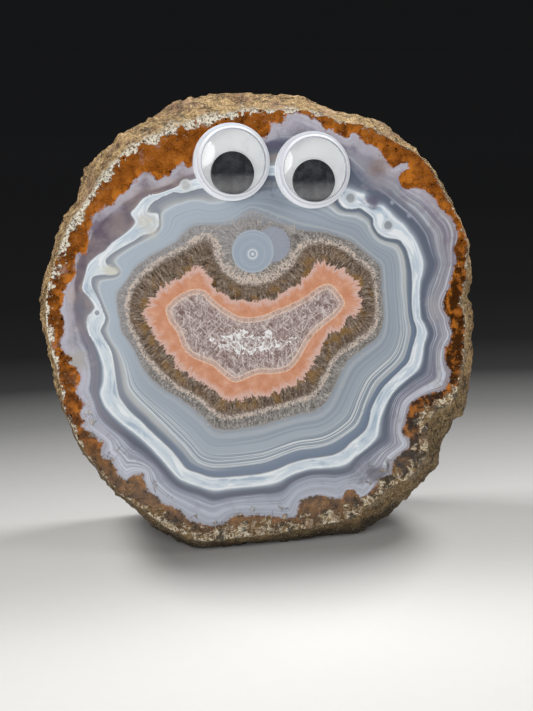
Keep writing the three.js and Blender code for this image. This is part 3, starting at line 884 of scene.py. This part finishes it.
def heart_colour(finish, where, band, needles, grit):
    """The core: mauve-brown quartz with fine white strokes, each 0.4 by 2.4 mm, that lean three ways."""
    fade, noise = finish.fade, finish.noise
    ground = finish.ramp(noise(where, 1.8, 4.0, 0.7) * 0.6 + grit * 0.4, stops("""
        0.36 102 79 75, 0.46 140 117 113, 0.56 170 151 148, 0.68 208 193 191"""))
    hairs = []
    for angle in (1.55, 0.75, 2.45):
        sideways = finish.dot(where, (-math.sin(angle), math.cos(angle), 0.0))
        lengthways = finish.dot(where, (math.cos(angle), math.sin(angle), 0.0))
        slanted = finish.join(sideways / 0.40, lengthways / 2.4, angle)
        hairs.append(fade(noise(slanted, 1.0, 2.0, 0.6, 0.9), 0.55, 0.64))
    fringe = fade(band + (needles - 0.5) * 0.5, 9.50, 9.05)
    return finish.lay(
        ground,
        (122, 96, 90, fade(needles, 0.46, 0.36) * 0.7),
        (240, 230, 226, hairs[0].most(hairs[1]).most(hairs[2]) * 0.62),
        (216, 190, 180, fringe * (fade(needles, 0.40, 0.58) * 0.6 + 0.1)))


# %% [markdown]
# ### The mossy border
#
# Iron minerals grew into the outermost chalcedony like moss: warm orange where it is thin, almost black
# where it is dense, with dark dots. Its inner edge is the most ragged line of the stone, so two sizes of
# noise are added to the distance that makes its mask. A pale crust sits on the very rim.

# %% Moss and crust


def moss_colour(finish, where, across, up, moss):
    """Colour of the iron-stained border, warmer at the top and greyer at the bottom."""
    fade, noise = finish.fade, finish.noise
    cloud = noise(where, 3.0, 5.0, 0.62, 0.3)
    dense = cloud * 0.50 + noise(where, 0.5, 3.0, 0.8) * 0.34 + noise(where, 9.0, 2.0) * 0.16
    warm = finish.ramp(dense, stops("""
        0.33 42 21 8, 0.40 98 52 16, 0.47 138 78 26, 0.55 160 94 34, 0.64 184 120 58, 0.73 222 176 130"""))
    grey = finish.ramp(dense, stops("""
        0.35 28 17 8, 0.43 70 45 20, 0.50 108 74 38, 0.58 140 100 56, 0.70 190 156 108"""))
    low = fade(up + (cloud - 0.5) * 16 - abs(across) * 0.15, -24.0, -42.0)
    glow = fade(moss, -2.4, -0.4) * fade(cloud, 0.46, 0.58)
    veil = fade(noise(where, 4.6, 4.0, 0.6), 0.58, 0.70) * fade(up - across, 20.0, 60.0)
    open_cloud = fade(cloud, 0.60, 0.48)
    large_dots = fade(finish.cells(where, 1.9), 0.20, 0.10)
    small_dots = fade(finish.cells(where, 0.95), 0.17, 0.085)
    sides = (fade(across, 40.0, 50.0) * fade(up, 24.0, 12.0)).most(fade(across, -42.0, -50.0) * 0.5)
    lower_right = fade(across, 26.0, 38.0) * fade(up, -14.0, -24.0)
    return finish.lay(
        finish.mix(warm, grey, low),
        (204, 122, 40, glow * (0.6 - low * 0.45)),
        (168, 138, 132, veil * 0.55),
        (14, 8, 6, large_dots * open_cloud * 0.95),
        (14, 8, 6, small_dots * open_cloud * 0.95),
        (44, 24, 8, sides * fade(cloud, 0.60, 0.46) * 0.85),
        (44, 30, 18, lower_right * fade(cloud, 0.66, 0.44) * 0.85))


def crust_share(finish, where, across, up, rim):
    """How much of the frothy crust covers the face: a ragged hem at the rim, wide and lumpy low down."""
    fade, noise = finish.fade, finish.noise
    flake = noise(where, 1.3, 4.0, 0.7)
    lumps = noise(where, 4.2, 3.0, 0.55)
    rough_side = fade(up, -42.0, -50.0).most(fade(across, 24.0, 38.0) * fade(up, -14.0, -26.0))
    top_left = fade(up - across, 34.0, 66.0)
    width = rough_side * 2.7 + top_left * 1.1 + 0.30
    frayed = rim + (flake - 0.5) * 5.0 + (lumps - 0.5) * (rough_side * 12.0 + top_left * 5.0 + 3.5)
    hem = fade(frayed, width, width - 0.35)
    islands = fade(lumps * 0.6 + flake * 0.4, 0.565, 0.595) * fade(rim, 9.0, 5.0)
    low_side = fade(up + abs(across) * 0.25, 4.0, -22.0) * 0.8
    sprinkle = fade(noise(where, 0.8, 3.0, 0.7), 0.62, 0.68) * fade(rim, 5.0, 1.5)
    return hem.most(islands * low_side).most(sprinkle * 0.8), flake


def crust_colour(finish, where, across, up, flake):
    """Froth: pale curls where a noise crosses its middle value, over tan, with dark gaps between."""
    fade, line, noise = finish.fade, finish.line, finish.noise
    fine = noise(where, 0.7, 3.0, 0.75)
    curls = noise(where, 2.5, 2.0, 0.5, 1.3)
    pale = line(curls, 0.5, 0.060, 0.012).most(line(curls, 0.62, 0.035, 0.01) * 0.8)
    lower_right = fade(across, 22.0, 38.0) * fade(up, -14.0, -26.0)
    gaps = fade(noise(where, 3.0, 5.0, 0.66) - lower_right * 0.035, 0.49, 0.42)
    bright = fade(up - across, 6.0, 46.0) * fade(fine, 0.44, 0.52)
    tan = finish.ramp(flake * 0.5 + fine * 0.5, stops("""
        0.36 52 38 20, 0.43 98 76 46, 0.50 140 114 76, 0.58 176 148 106, 0.68 212 190 150"""))
    return finish.lay(
        tan,
        (244, 232, 208, pale * (fade(fine, 0.34, 0.50) * 0.7 + 0.2)),
        (34, 24, 14, gaps * 0.85),
        (122, 84, 42, fade(noise(where, 5.0, 3.0), 0.50, 0.60) * 0.45),
        (255, 248, 230, bright * 0.85))


# %% [markdown]
# ### Eyes within the agate, and other small things
#
# Agate grows small round "eyes" where a layer began on a point: a disc under the crystals with a
# bull's-eye in it, and pale or grey spots in the white band. Each is a centre, a radius and two colours,
# drawn by its distance from the centre. Soft patches of one colour stand for the larger clouds.

# %% Spots of the face
LOBE = (5.2, 20.8)  # middle of the lobe beside the blue disc
BULLS_EYE = (-0.3, 18.5)
MOSS_TONGUE = (41.6, 36.4)  # where a tongue of moss reaches inwards
# rows of SPOTS: across, up, radius, colour of the middle, colour of the edge, how strong
SPOTS = table("""26.5 32.3 1.7 152 156 160 206 214 220 0.9, 36.7 24.8 1.6 140 146 152 206 214 220 0.9,
46.7 38.8 0.6 120 84 56 212 190 164 0.9, 47.3 38.0 0.6 120 84 56 212 190 164 0.9,
38.0 30.8 0.6 158 164 178 140 146 162 0.9, 42.7 27.3 0.7 160 166 178 140 146 162 0.9,
-41.3 5.0 0.9 150 156 166 232 236 240 0.9, -17.2 36.6 1.5 196 196 194 224 228 230 0.8""")
# rows of PATCHES: across, up, half width, half height, colour, how strong
PATCHES = table("""-27.0 27.5 2.4 2.9 206 204 194 0.85, -37.5 15.6 2.6 0.9 214 212 198 0.85,
-39.5 26.5 2.0 3.4 88 78 98 0.7, -37.0 31.4 3.2 1.4 176 172 186 0.6, -27.0 41.5 4.5 2.0 112 88 84 0.5,
-44.6 5.6 2.0 3.2 128 130 142 0.55, -44.5 22.5 1.6 4.5 96 88 104 0.6, 5.2 46.2 3.6 1.4 100 92 112 0.75,
5.0 43.2 3.2 1.4 164 152 144 0.7, 5.0 36.2 7.0 1.8 84 90 104 0.7, 32.6 31.2 2.6 1.4 100 94 116 0.75,
36.5 36.5 4.4 2.4 164 158 166 0.5, 34.2 40.0 3.2 2.2 140 120 112 0.7, 30.5 42.0 2.4 3.5 160 158 168 0.5,
31.5 -41.8 4.2 2.2 92 86 98 0.8, -46.5 -8.0 2.4 2.8 176 170 160 0.7, 48.8 2.5 1.6 3.0 176 172 176 0.6""")


def distance(across, up, middle):
    """Millimetres along the face from a point of it."""
    return ((across - middle[0]) ** 2 + (up - middle[1]) ** 2) ** 0.5


def with_spots(finish, where, across, up, colour):
    """Lay the soft patches, then the round spots, over a colour."""
    fade = finish.fade
    fray = (finish.noise(where, 1.3, 4.0, 0.65) - 0.5) * 1.6
    bend = (finish.noise(where, 4.0, 3.0) - 0.5) * 3.4
    for u, v, wide, high, *paint, strong in PATCHES:
        away = (((across - u) / wide) ** 2 + ((up - v) / high) ** 2) ** 0.5
        colour = finish.lay(colour, (*paint, fade(away + fray + bend, 1.7, 0.2) * strong))
    for u, v, radius, *paints, strong in SPOTS:
        away = distance(across, up, (u, v)) / radius + fray * 0.15
        disc = finish.mix(tint(*paints[:3]), tint(*paints[3:]), fade(away, 0.55, 0.85))
        colour = finish.mix(colour, disc, fade(away, 1.25, 1.0) * strong)
    return colour


def with_disc(finish, where, across, up, colour):
    """The blue-grey disc with its bull's-eye, and the lobe beside it."""
    fade, line = finish.fade, finish.line
    fray = (finish.noise(where, 0.9, 3.0) - 0.5) * 0.5
    lobe = distance(across, up, LOBE) + fray
    disc = distance(across, up, DISC) + fray
    from_eye = distance(across, up, BULLS_EYE)
    rings = finish.noise(finish.join(from_eye * 1.1, 0.0, 0.0), 1.0, 2.0, 0.5)
    colour = finish.mix(colour, finish.mix(tint(150, 156, 170), tint(164, 170, 184), rings),
                        fade(lobe, 4.9, 4.3) * 0.9)
    face = finish.mix(tint(159, 171, 185), tint(169, 180, 192), fade(rings, 0.42, 0.60))
    face = finish.lay(face, (182, 190, 198, line(disc, 5.35, 0.32, 0.05) * 0.7))
    colour = finish.mix(colour, face, fade(disc, 5.75, 5.45))
    ring = line(from_eye, 1.15, 0.28, 0.08).most(fade(from_eye, 0.55, 0.3))
    return finish.lay(colour, (224, 226, 226, ring * 0.85))


def with_white_curls(finish, where, across, up, colour):
    """The white curls in the middle of the core: the outline of a flat oval, frayed by a large noise."""
    oval = (((across + 2.0) / 8.6) ** 2 + ((up + 4.6) / 2.4) ** 2) ** 0.5
    oval = oval + (finish.noise(where, 2.9, 2.5, 0.6, 1.2) - 0.5) * 4.2
    fill = finish.fade(oval, 0.8, 0.4) * finish.fade(finish.noise(where, 0.9, 3.0, 0.7), 0.44, 0.56)
    return finish.lay(colour, (248, 248, 248, finish.line(oval, 0.75, 0.30, 0.10).most(fill * 0.45) * 0.9))


print(len(SPOTS), "spots and", len(PATCHES), "patches")

# %% [markdown]
# ### The whole pattern
#
# The parts above are laid down in order, from the clean bands to the crust, each over the last by its own
# mask. The upper left is cloudier than the rest: plum and cream lie between the moss and the white band,
# with a feathery frost along the moss.

# %% Put the pattern together


def north_west_clouds(finish, where, across, up, band, moss, colour):
    """Violet haze at the top, plum and cream clouds at the upper left, and frost along the moss."""
    fade, window, noise = finish.fade, finish.window, finish.noise
    violet = fade(noise(where, 6.0, 3.0), 0.42, 0.58) * fade(up, 8.0, 30.0) * fade(band, 1.95, 1.6)
    colour = finish.lay(colour, (120, 104, 116, violet * 0.36))
    here = fade(up - across, 34.0, 58.0) * fade(across, -8.0, -18.0) * window(band, 1.15, 1.35, 2.92, 3.02)
    plum = finish.mix(tint(112, 98, 106), tint(146, 131, 132), fade(noise(where, 6.0, 2.0), 0.36, 0.64))
    colour = finish.mix(colour, plum, here * 0.85)
    cream = fade(noise(where, 7.0, 1.0), 0.44, 0.68) * here * (1 - window(band, 1.80, 1.92, 2.4, 2.6))
    feather = noise(where, 0.8, 4.0, 0.75) * 0.45 + noise(where, 3.6, 2.0) * 0.55
    frost = fade(moss + (feather - 0.5) * 9.0, 4.6, 0.6) * fade(up - across * 0.6, -16.0, 14.0)
    return finish.lay(
        colour,
        (180, 164, 154, cream * 0.75),
        (204, 200, 212, frost * fade(band, 1.9, 1.6) * 0.55))


def agate_colour(finish, seed, face):
    """Colour, crust share, crystal texture and noise coordinates of the whole pattern."""
    fade, noise = finish.fade, finish.noise
    place_on_cut = finish.read("where")
    where = finish.vector("ADD", place_on_cut, seed)
    across, up, _ = finish.split(place_on_cut)
    band = finish.read("band", "Fac")
    grow = finish.read("grow")
    rim, moss, salmon = finish.split(finish.read("edges"))
    colour = banded_colour(finish, where, across, up, band, grow)
    colour = north_west_clouds(finish, where, across, up, band, moss, colour)
    if face:
        colour = with_spots(finish, where, across, up, colour)
    crystals, texture = crystal_colour(finish, where, band, grow, salmon)
    edge = band + (noise(where, 1.2, 3.0) - 0.5) * 0.10
    colour = finish.lay(colour, (184, 190, 194, finish.line(edge, 5.84, 0.07, 0.02) * 0.45))
    colour = finish.mix(colour, crystals, fade(edge + (texture - 0.5) * 1.6, 5.94, 6.10))
    ragged = moss + (noise(where, 3.4, 3.0) - 0.5) * 2.6 + (noise(where, 1.0, 4.0, 0.7) - 0.5) * 2.4
    if face:
        colour = with_disc(finish, where, across, up, colour)
        colour = with_white_curls(finish, where, across, up, colour)
        ragged = ragged - fade(distance(across, up, MOSS_TONGUE), 4.0, 0.5) * 4.0
    colour = finish.mix(colour, moss_colour(finish, where, across, up, moss), fade(ragged, 0.35, -0.25))
    crust, flake = crust_share(finish, where, across, up, rim)
    colour = finish.mix(colour, crust_colour(finish, where, across, up, flake), crust)
    return colour, crust, texture, where


# %% [markdown]
# ### The polished face
#
# A lapidary polish leaves quartz with a mirror gloss, so roughness is low and the bump nearly none, apart
# from the crust, which the polish never reached, and a faint graininess over the crystals.

# %% Polished face
polished = Finish("agate_polished")
colour, crust, texture, where = agate_colour(polished, (0.0, 0.0, 0.0), True)
gloss = 0.07 + polished.noise(where, 0.8, 3.0) * 0.08 + crust * 0.6
height = crust * polished.noise(where, 1.3, 5.0, 0.7) + texture * 0.03
polished.shine(colour, gloss, polished.relief(height, 0.0009, 0.8), IOR=1.54)
print("polished face:", len(polished.tree.nodes), "nodes")

# %% [markdown]
# ### The rough rind
#
# The outside is weathered, sandy and khaki, with rusty stains, dark pits and small pale flakes with a lower
# roughness, painted near white so that they also stand for glints. It is the opposite of the face: high
# roughness, and a strong bump from several noises on top of the real lumps of the mesh. Painted shade darkens
# it towards the ground, most at its foot by the floor, and a ragged pale crust runs along the rim of the
# polished face.

# %% Rind
rough_skin = Finish("agate_rind")
fade, noise = rough_skin.fade, rough_skin.noise
where = rough_skin.read("where")
across, up, deep = rough_skin.split(where)
broad = noise(where, 16.0, 3.0)
lump = noise(where, 4.2, 5.0, 0.6)
sand = noise(where, 0.8, 4.0, 0.75)
rosy = fade(noise(where, 10.0, 3.0, 0.6), 0.52, 0.64) * fade(up, 10.0, 34.0)
rust = fade(noise(where, 6.0, 4.0, 0.6), 0.54, 0.66)
# painted shade: darker towards the bottom of the rind, and darkest at its foot by the floor
shaded = fade(up + (broad - 0.5) * 14 - abs(across) * 0.2, -22.0, -44.0)
foot = fade(up + (lump - 0.5) * 8, -46.0, -54.0) * fade(deep, 0.5, 4.0)
crack = noise(rough_skin.stretch(where, (1.0, 1.0, 2.2)), 3.4, 4.0, 0.6, 0.8)
pits = rough_skin.line(crack, 0.5, 0.035, 0.008) * fade(lump, 0.56, 0.44)
pits = pits.most(fade(rough_skin.cells(where, 2.2), 0.26, 0.08) * fade(lump, 0.55, 0.45))
# pale flakes, partly real specks and partly painted glints; their roughness drops as well
pale_flakes_and_glints = fade(noise(where, 0.5, 2.0, 0.6), 0.62, 0.70)
rim_crust = fade(deep + (lump - 0.5) * 7.0 + (sand - 0.5) * 3.0, 1.1, 0.1) * fade(sand, 0.36, 0.54)
skin = rough_skin.ramp(broad * 0.14 + lump * 0.26 + sand * 0.60, stops("""
    0.36 58 40 18, 0.42 120 90 50, 0.48 176 140 88, 0.54 210 174 118, 0.60 240 210 158, 0.67 255 246 220"""))
colour = rough_skin.lay(
    skin,
    (196, 152, 130, rosy * 0.35),
    (136, 88, 40, rust * 0.42),
    # painted shade, low down and at the foot
    (78, 64, 40, shaded * 0.55),
    (44, 34, 20, foot * 0.7),
    (40, 30, 18, pits * 0.75),
    (250, 234, 202, pale_flakes_and_glints * 0.8),
    (246, 232, 206, rim_crust * (fade(up - across, 20.0, 56.0) * 0.65 + 0.25)))
height = lump * 1.0 + sand * 0.55 + noise(where, 0.35, 3.0, 0.7) * 0.18 - pits * 0.6
rough_skin.shine(colour, 0.8 - pale_flakes_and_glints * 0.45, rough_skin.relief(height, 0.0026))
print("rind:", len(rough_skin.tree.nodes), "nodes")

# %% [markdown]
# ### The sawn back
#
# Nobody polishes the back of a slice that will stand against a wall. It shows the same bands, dulled by
# the saw: curved scratches from the disc blade, no gloss, and a greyer, drier colour.

# %% Sawn back
SAW_MIDDLE = (30.0, -210.0)  # the blade's axle, far below the stone
sawn = Finish("agate_sawn")
colour, crust, texture, where = agate_colour(sawn, (31.0, 17.0, 5.0), False)
across, up, _ = sawn.split(sawn.read("where"))
blade = distance(across, up, SAW_MIDDLE)
marks = sawn.noise(sawn.join(blade * 1.1, across * 0.02, 0.0), 1.0, 4.0, 0.7)
colour = sawn.lay(
    colour,
    (176, 172, 166, 0.18 + sawn.noise(where, 5.0, 4.0, 0.6) * 0.25),
    (210, 208, 204, sawn.fade(marks, 0.56, 0.70) * 0.22))
sawn.shine(colour, 0.5 + marks * 0.3, sawn.relief(marks + crust * 0.8, 0.0005, 0.8))
print("sawn back:", len(sawn.tree.nodes), "nodes")

# %% Build the stone
stone = make_piece("agate_slice_stone", stone_places, stone_faces,
                   [polished.material, rough_skin.material, sawn.material], (0, 1, 2, 2), stone_attributes)
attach(stone, "stone")
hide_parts("agate_slice")

# %% [markdown]
# ## The eyes
#
# Each eye is three mouldings: a white disc with glue on its back, a clear cup with a flange pressed onto
# it, and a black disc that lies loose between them and hangs to the bottom. All three are turned shapes,
# so each is one outline of radius and height, carried round the eye's own axis.

# %% Sizes of an eye in millimetres
EYE_RADIUS = 10.0
SEAM = 0.05
FLANGE = 0.6
CUP_RADIUS = 9.1
CUP_WALL = 0.35
CUP_HEIGHT = 4.0
CAP_RADIUS = 31.0
SHOULDER_WIDTH = 0.8
CLEAR_RADIUS = CUP_RADIUS - SHOULDER_WIDTH
PUPIL_RADIUS = 5.65
PUPIL_THICKNESS = 0.9
PUPIL_HANG = 2.95
PUPIL_PLAY = 0.15
EDGE = 0.15
TURNS = 96


def bend(start, knee, end, t):
    """Quadratic curve from start to end, drawn towards knee."""
    return (1 - t) ** 2 * start + 2 * t * (1 - t) * knee + t**2 * end


def corner(radius, height, edge_in, edge_out, steps=4):
    """A quarter round of size EDGE at a corner: from the point edge_in before it to edge_out after it."""
    here = np.array([radius, height])
    t = np.linspace(0, 1, steps + 1)[:, None]
    return bend(here + EDGE * np.array(edge_in), here, here + EDGE * np.array(edge_out), t)


def disc_outline(radius, high):
    """From the axis at the underside, round two softened corners, to the axis at the top."""
    middle = [(radius * share, 0.0) for share in (0.0, 0.35, 0.7)]
    top = [(radius * share, high) for share in (0.7, 0.35, 0.0)]
    return np.concatenate([middle, corner(radius, 0.0, (-1, 0), (0, 1)),
                           corner(radius, high, (0, -1), (-1, 0)), top])


def dome(radius, top, steps=14):
    """From the shoulder to the axis: a tight curve, then a shallow ball cap of CAP_RADIUS.

    The cap's height is top - (R - sqrt(R^2 - r^2)); the shoulder is a quadratic curve whose middle point
    lies where the cap's edge tangent meets the wall.
    """
    brink = radius - SHOULDER_WIDTH
    cap = np.linspace(brink, 0, steps + 1)
    height = top - CAP_RADIUS + np.sqrt(CAP_RADIUS**2 - cap**2)
    slope = brink / math.sqrt(CAP_RADIUS**2 - brink**2)
    knee = np.array([radius, height[0] - slope * SHOULDER_WIDTH])
    foot = np.array([radius, knee[1] - SHOULDER_WIDTH])
    shoulder = bend(foot, knee, np.array([brink, height[0]]), np.linspace(0, 1, 9)[:-1, None])
    return np.concatenate([shoulder, np.stack([cap, height], axis=1)])


def cup_outline():
    """Inside of the dome from the axis down, under the flange, round its rim, and up the outside."""
    inner = CUP_RADIUS - CUP_WALL
    return np.concatenate([
        dome(inner, CUP_HEIGHT - CUP_WALL)[::-1],
        [[inner, 0.8]], corner(inner, 0.0, (0, 1), (1, 0)),
        corner(EYE_RADIUS, 0.0, (-1, 0), (0, 1)), corner(EYE_RADIUS, FLANGE, (0, -1), (-1, 0)),
        corner(CUP_RADIUS, FLANGE, (1, 0), (0, 1)), [[CUP_RADIUS, 1.2]],
        dome(CUP_RADIUS, CUP_HEIGHT)])


print("points along the cup:", len(cup_outline()), "along a disc:", len(disc_outline(10, 1)))

# %% Carry an outline round the axis


def turned(outline):
    """Points (across, up, out) = (r cos a, r sin a, h) for each outline point and angle, with one point at
    each end on the axis, and faces that point outwards."""
    angle = np.linspace(0, 2 * np.pi, TURNS, endpoint=False)
    radius, height = outline[1:-1].T
    ring = np.stack([np.outer(radius, np.cos(angle)), np.outer(radius, np.sin(angle)),
                     np.outer(height, np.ones(TURNS))], axis=-1).reshape(-1, 3)
    points = np.concatenate([ring, [[0, 0, outline[0, 1]], [0, 0, outline[-1, 1]]]])
    rows = np.arange(len(ring)).reshape(-1, TURNS)
    beside = np.roll(rows, -1, axis=1)
    start = np.stack([np.full(TURNS, len(ring)), beside[0], rows[0]], axis=-1)
    end = np.stack([np.full(TURNS, len(ring) + 1), rows[-1], beside[-1]], axis=-1)
    return points, [quads(rows[:-1], beside[:-1], beside[1:], rows[1:]), start, end]


def eye_piece(name, outline, across, up, lift, materials, body, node):
    """A turned piece set on the face, lift millimetres out from it, in place of its plain solid.

    Where there are two materials, the second covers what lies outside the radius CLEAR_RADIUS.
    """
    points, (sides, start, end) = turned(outline)
    places = place(across + points[:, 0], up + points[:, 1], -(lift + points[:, 2]))
    outside = np.hypot(*points[sides].mean(axis=1)[:, :2].T) > CLEAR_RADIUS
    piece = make_piece(name, places, [sides[~outside], sides[outside], start, end], materials,
                       (0, len(materials) - 1, 0, 0), {"where": points + np.array([0.0, 0.0, lift])}, 50)
    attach(piece, body)
    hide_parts(node)


# %% [markdown]
# ### White, clear and black plastic
#
# Plain materials, but not bare: the white is milky, the clear cup has hair scratches in its gloss, and
# the black disc carries a little dust. Lamps reach the white disc only through the cup, which loses some
# of their light here, so a weak emission on the white stands for what the real cup passes on. The outer
# ring of the cup looks opaque in the photograph, so it takes a white plastic with a grey groove.

# %% Plastic finishes
white_plastic = Finish("eye_white_plastic")
where = white_plastic.read("where")
cloud = white_plastic.noise(where, 4.0, 3.0)
fleck = white_plastic.fade(white_plastic.noise(where, 0.25, 2.0), 0.70, 0.76)
colour = white_plastic.mix(tint(246, 247, 246), tint(252, 252, 252), cloud)
white_plastic.shine(white_plastic.lay(colour, (190, 188, 186, fleck * 0.35)), 0.28 + cloud * 0.12,
                    white_plastic.relief(cloud, 0.00005, 0.3), IOR=1.5,
                    Emission_Color=(0.95, 1.0, 1.0, 1.0), Emission_Strength=0.24)

rim_plastic = Finish("eye_rim_plastic")
where = rim_plastic.read("where")
x, y, _ = rim_plastic.split(where)
cloud = rim_plastic.noise(where, 3.0, 3.0)
groove = rim_plastic.fade((x * x + y * y) ** 0.5, CLEAR_RADIUS + 0.34, CLEAR_RADIUS + 0.10)
colour = rim_plastic.mix(tint(225, 228, 235), tint(237, 239, 244), cloud)
rim_plastic.shine(rim_plastic.lay(colour, (150, 152, 166, groove * 0.8)), 0.30 + cloud * 0.12,
                  rim_plastic.relief(cloud, 0.00005, 0.3), IOR=1.5)

clear_plastic = Finish("eye_clear_plastic")
where = clear_plastic.read("where")
hair = clear_plastic.noise(clear_plastic.stretch(where, (0.4, 6.0, 1.0)), 1.0, 3.0, 0.6, 0.4)
smear = clear_plastic.noise(where, 3.0, 3.0)
clear_plastic.shine((1.0, 1.0, 1.0, 1.0),
                    0.015 + clear_plastic.fade(hair, 0.6, 0.75) * 0.05 + smear * 0.02,
                    IOR=1.49, Transmission_Weight=1.0)

black_plastic = Finish("eye_black_plastic")
where = black_plastic.read("where")
dust = black_plastic.fade(black_plastic.noise(where, 0.22, 2.0, 0.6), 0.66, 0.74)
smear = black_plastic.noise(where, 2.2, 4.0, 0.6, 0.8)
colour = black_plastic.mix(tint(54, 55, 60), tint(88, 89, 93), black_plastic.fade(smear, 0.35, 0.68))
black_plastic.shine(black_plastic.lay(colour, (120, 120, 120, dust * 0.35)), 0.06 + smear * 0.10,
                    black_plastic.relief(smear, 0.00004, 0.4), IOR=1.5)
print("plastic finishes:", white_plastic.material.name, clear_plastic.material.name,
      black_plastic.material.name)

# %% Build the eyes
SURFACE = GLUE + BACK_THICKNESS
for side, (across, up) in EYES.items():
    eye_piece(f"{side}_eye_white_disc", disc_outline(EYE_RADIUS, BACK_THICKNESS), across, up, GLUE,
              [white_plastic.material], "stone", f"{side}_eye_back")
    eye_piece(f"{side}_eye_clear_cup", cup_outline(), across, up, SURFACE + SEAM,
              [clear_plastic.material, rim_plastic.material], "stone", f"{side}_eye_case")
    eye_piece(f"{side}_eye_black_disc", disc_outline(PUPIL_RADIUS, PUPIL_THICKNESS), across,
              up - PUPIL_HANG, SURFACE + PUPIL_PLAY, [black_plastic.material], f"{side}_pupil",
              f"{side}_eye_pupil")

# %% [markdown]
# ## Floor, light and camera
#
# The object stands on a floor whose colour is a painted pool of light: pale near the stone and falling off
# into the dark behind it, where a faint painted glow keeps it from pure black. Two lamps hang high at its
# left and right, a little behind, and light the rind and the floor: where both are hidden the shadow is dark,
# so it stays short and narrow. A round lamp at the front left lights the face, a weak strip at the right
# fills in, and the table glows in front, outside the picture, a painted glow which gives the polish and the
# domes of the eyes something bright to mirror.

# %% Floor
FLOOR_HALF = 6.0
LIGHT_POOL_REACH = 0.4  # metres over which the strip of floor colours runs
# the haze is a faint glow painted on the floor far behind the stone
FAR_GLOW_REACH = 1.2  # metres over which the faint haze behind it runs


def glow(text):
    """The stops of a ramp of light: each is a place, then red, green and blue."""
    return [(at, (*light, 1.0)) for at, *light in table(text)]


floor_finish = Finish("floor_pale")
spot = floor_finish.node("ShaderNodeTexCoord", out="Object")
across, back, _ = floor_finish.split(spot)
# how far a point lies from the bright middle of the painted pool of light, counted more slowly sideways and
# in front of the stone
ahead = (back + 0.07).most(0.0) + (-back - 0.05).most(0.0) * 0.4
away = ((across / 2.2) ** 2 + ahead**2) ** 0.5
# painted pool of light: the floor's colour is pale near the stone and dark further off
fall = floor_finish.ramp(away / LIGHT_POOL_REACH, stops("""
    0.0 220 219 216, 0.10 206 205 202, 0.22 178 177 175, 0.34 146 145 144, 0.45 101 101 100,
    0.58 38 38 38, 0.72 12 12 12, 1.0 4 4 4"""))
# a faint painted glow on the far floor
haze = floor_finish.ramp(away / FAR_GLOW_REACH, glow("""
    0.12 0 0 0, 0.5 0.0042 0.0042 0.0046, 1.0 0.0072 0.0074 0.0080"""))
front = floor_finish.ramp(-back / FLOOR_HALF, glow("""
    0.0 1.6 1.6 1.6, 0.08 1.2 1.2 1.2, 0.30 0.3 0.3 0.3, 1.0 0.03 0.03 0.03"""))
speckle = floor_finish.noise(spot, 0.004, 3.0)
# the floor's emission is painted light: the faint far glow, and the bright table glow in front
floor_finish.shine(floor_finish.lay(fall, (0, 0, 0, speckle * 0.03)), 0.6 + speckle * 0.1,
                   Emission_Color=floor_finish.mix(haze, front, floor_finish.fade(back, -0.18, -0.34)),
                   Emission_Strength=1.0, Specular_IOR_Level=0.1)
floor_corners = FLOOR_HALF * np.array([(-1, -1, 0), (1, -1, 0), (1, 1, 0), (-1, 1, 0)])
floor = make_piece("floor", floor_corners, [np.array([(0, 1, 2, 3)])], [floor_finish.material])
print("floor", 2 * FLOOR_HALF, "m wide")

# %% Lights


def put(name, data, at, way):
    """A lamp or camera at a point, turned so that it looks along way with its top up."""
    made = bpy.data.objects.new(name, data)
    made.location = at
    made.rotation_mode = "QUATERNION"
    made.rotation_quaternion = Vector(way).to_track_quat("-Z", "Y")
    bpy.context.scene.collection.objects.link(made)
    return made


def softbox(name, at, aim, width, height, power, shape="RECTANGLE"):
    """A flat lamp at one point that looks at another; power in watts."""
    lamp = bpy.data.lights.new(name, "AREA")
    lamp.shape = shape
    lamp.size, lamp.size_y = width, height
    lamp.energy = power
    put(name, lamp, at, np.array(aim) - np.array(at))
    print(name, "at", at, power, "W")


softbox("front_left", (-0.36, -0.60, 0.34), (0.0, 0.0, 0.06), 0.58, 0.45, 2.85, "ELLIPSE")
softbox("overhead_left", (-0.39, 0.27, 0.68), (0.0, 0.0, 0.0), 0.30, 0.28, 5.5)
softbox("overhead_right", (0.39, 0.27, 0.68), (0.0, 0.0, 0.0), 0.30, 0.28, 5.1)
softbox("right_strip", (0.56, -0.36, 0.36), (0.0, 0.0, 0.06), 0.22, 0.50, 1.2)

world = bpy.data.worlds.new("dim_room")
world.use_nodes = True
background = world.node_tree.nodes["Background"].inputs
background["Color"].default_value = (0.9, 0.95, 1.0, 1.0)
background["Strength"].default_value = 0.0082
bpy.context.scene.world = world
bpy.context.scene.view_settings.view_transform = "Standard"
bpy.context.scene.view_settings.look = "None"

# %% Camera
FRAME_HIGH = 711  # height of the picture in pixels
FOCAL_PIXELS = 1450
FROM_FACE = np.array([-80.71, -361.79, 77.40])  # from the middle of the face to the camera, in millimetres
AZIMUTH = math.radians(-13)
ELEVATION = math.radians(13)

lens = bpy.data.cameras.new("camera")
lens.sensor_width = 36.0
lens.lens = FOCAL_PIXELS / FRAME_HIGH * lens.sensor_width
lens.clip_start = 0.01
lens.clip_end = 100.0
ahead_way = (-math.sin(AZIMUTH) * math.cos(ELEVATION), math.cos(AZIMUTH) * math.cos(ELEVATION),
             -math.sin(ELEVATION))
camera = put("camera", lens, FACE_MIDDLE + MM * FROM_FACE, ahead_way)
bpy.context.scene.camera = camera
print("lens", round(lens.lens, 1), "mm at", [round(1000 * x) for x in camera.location])
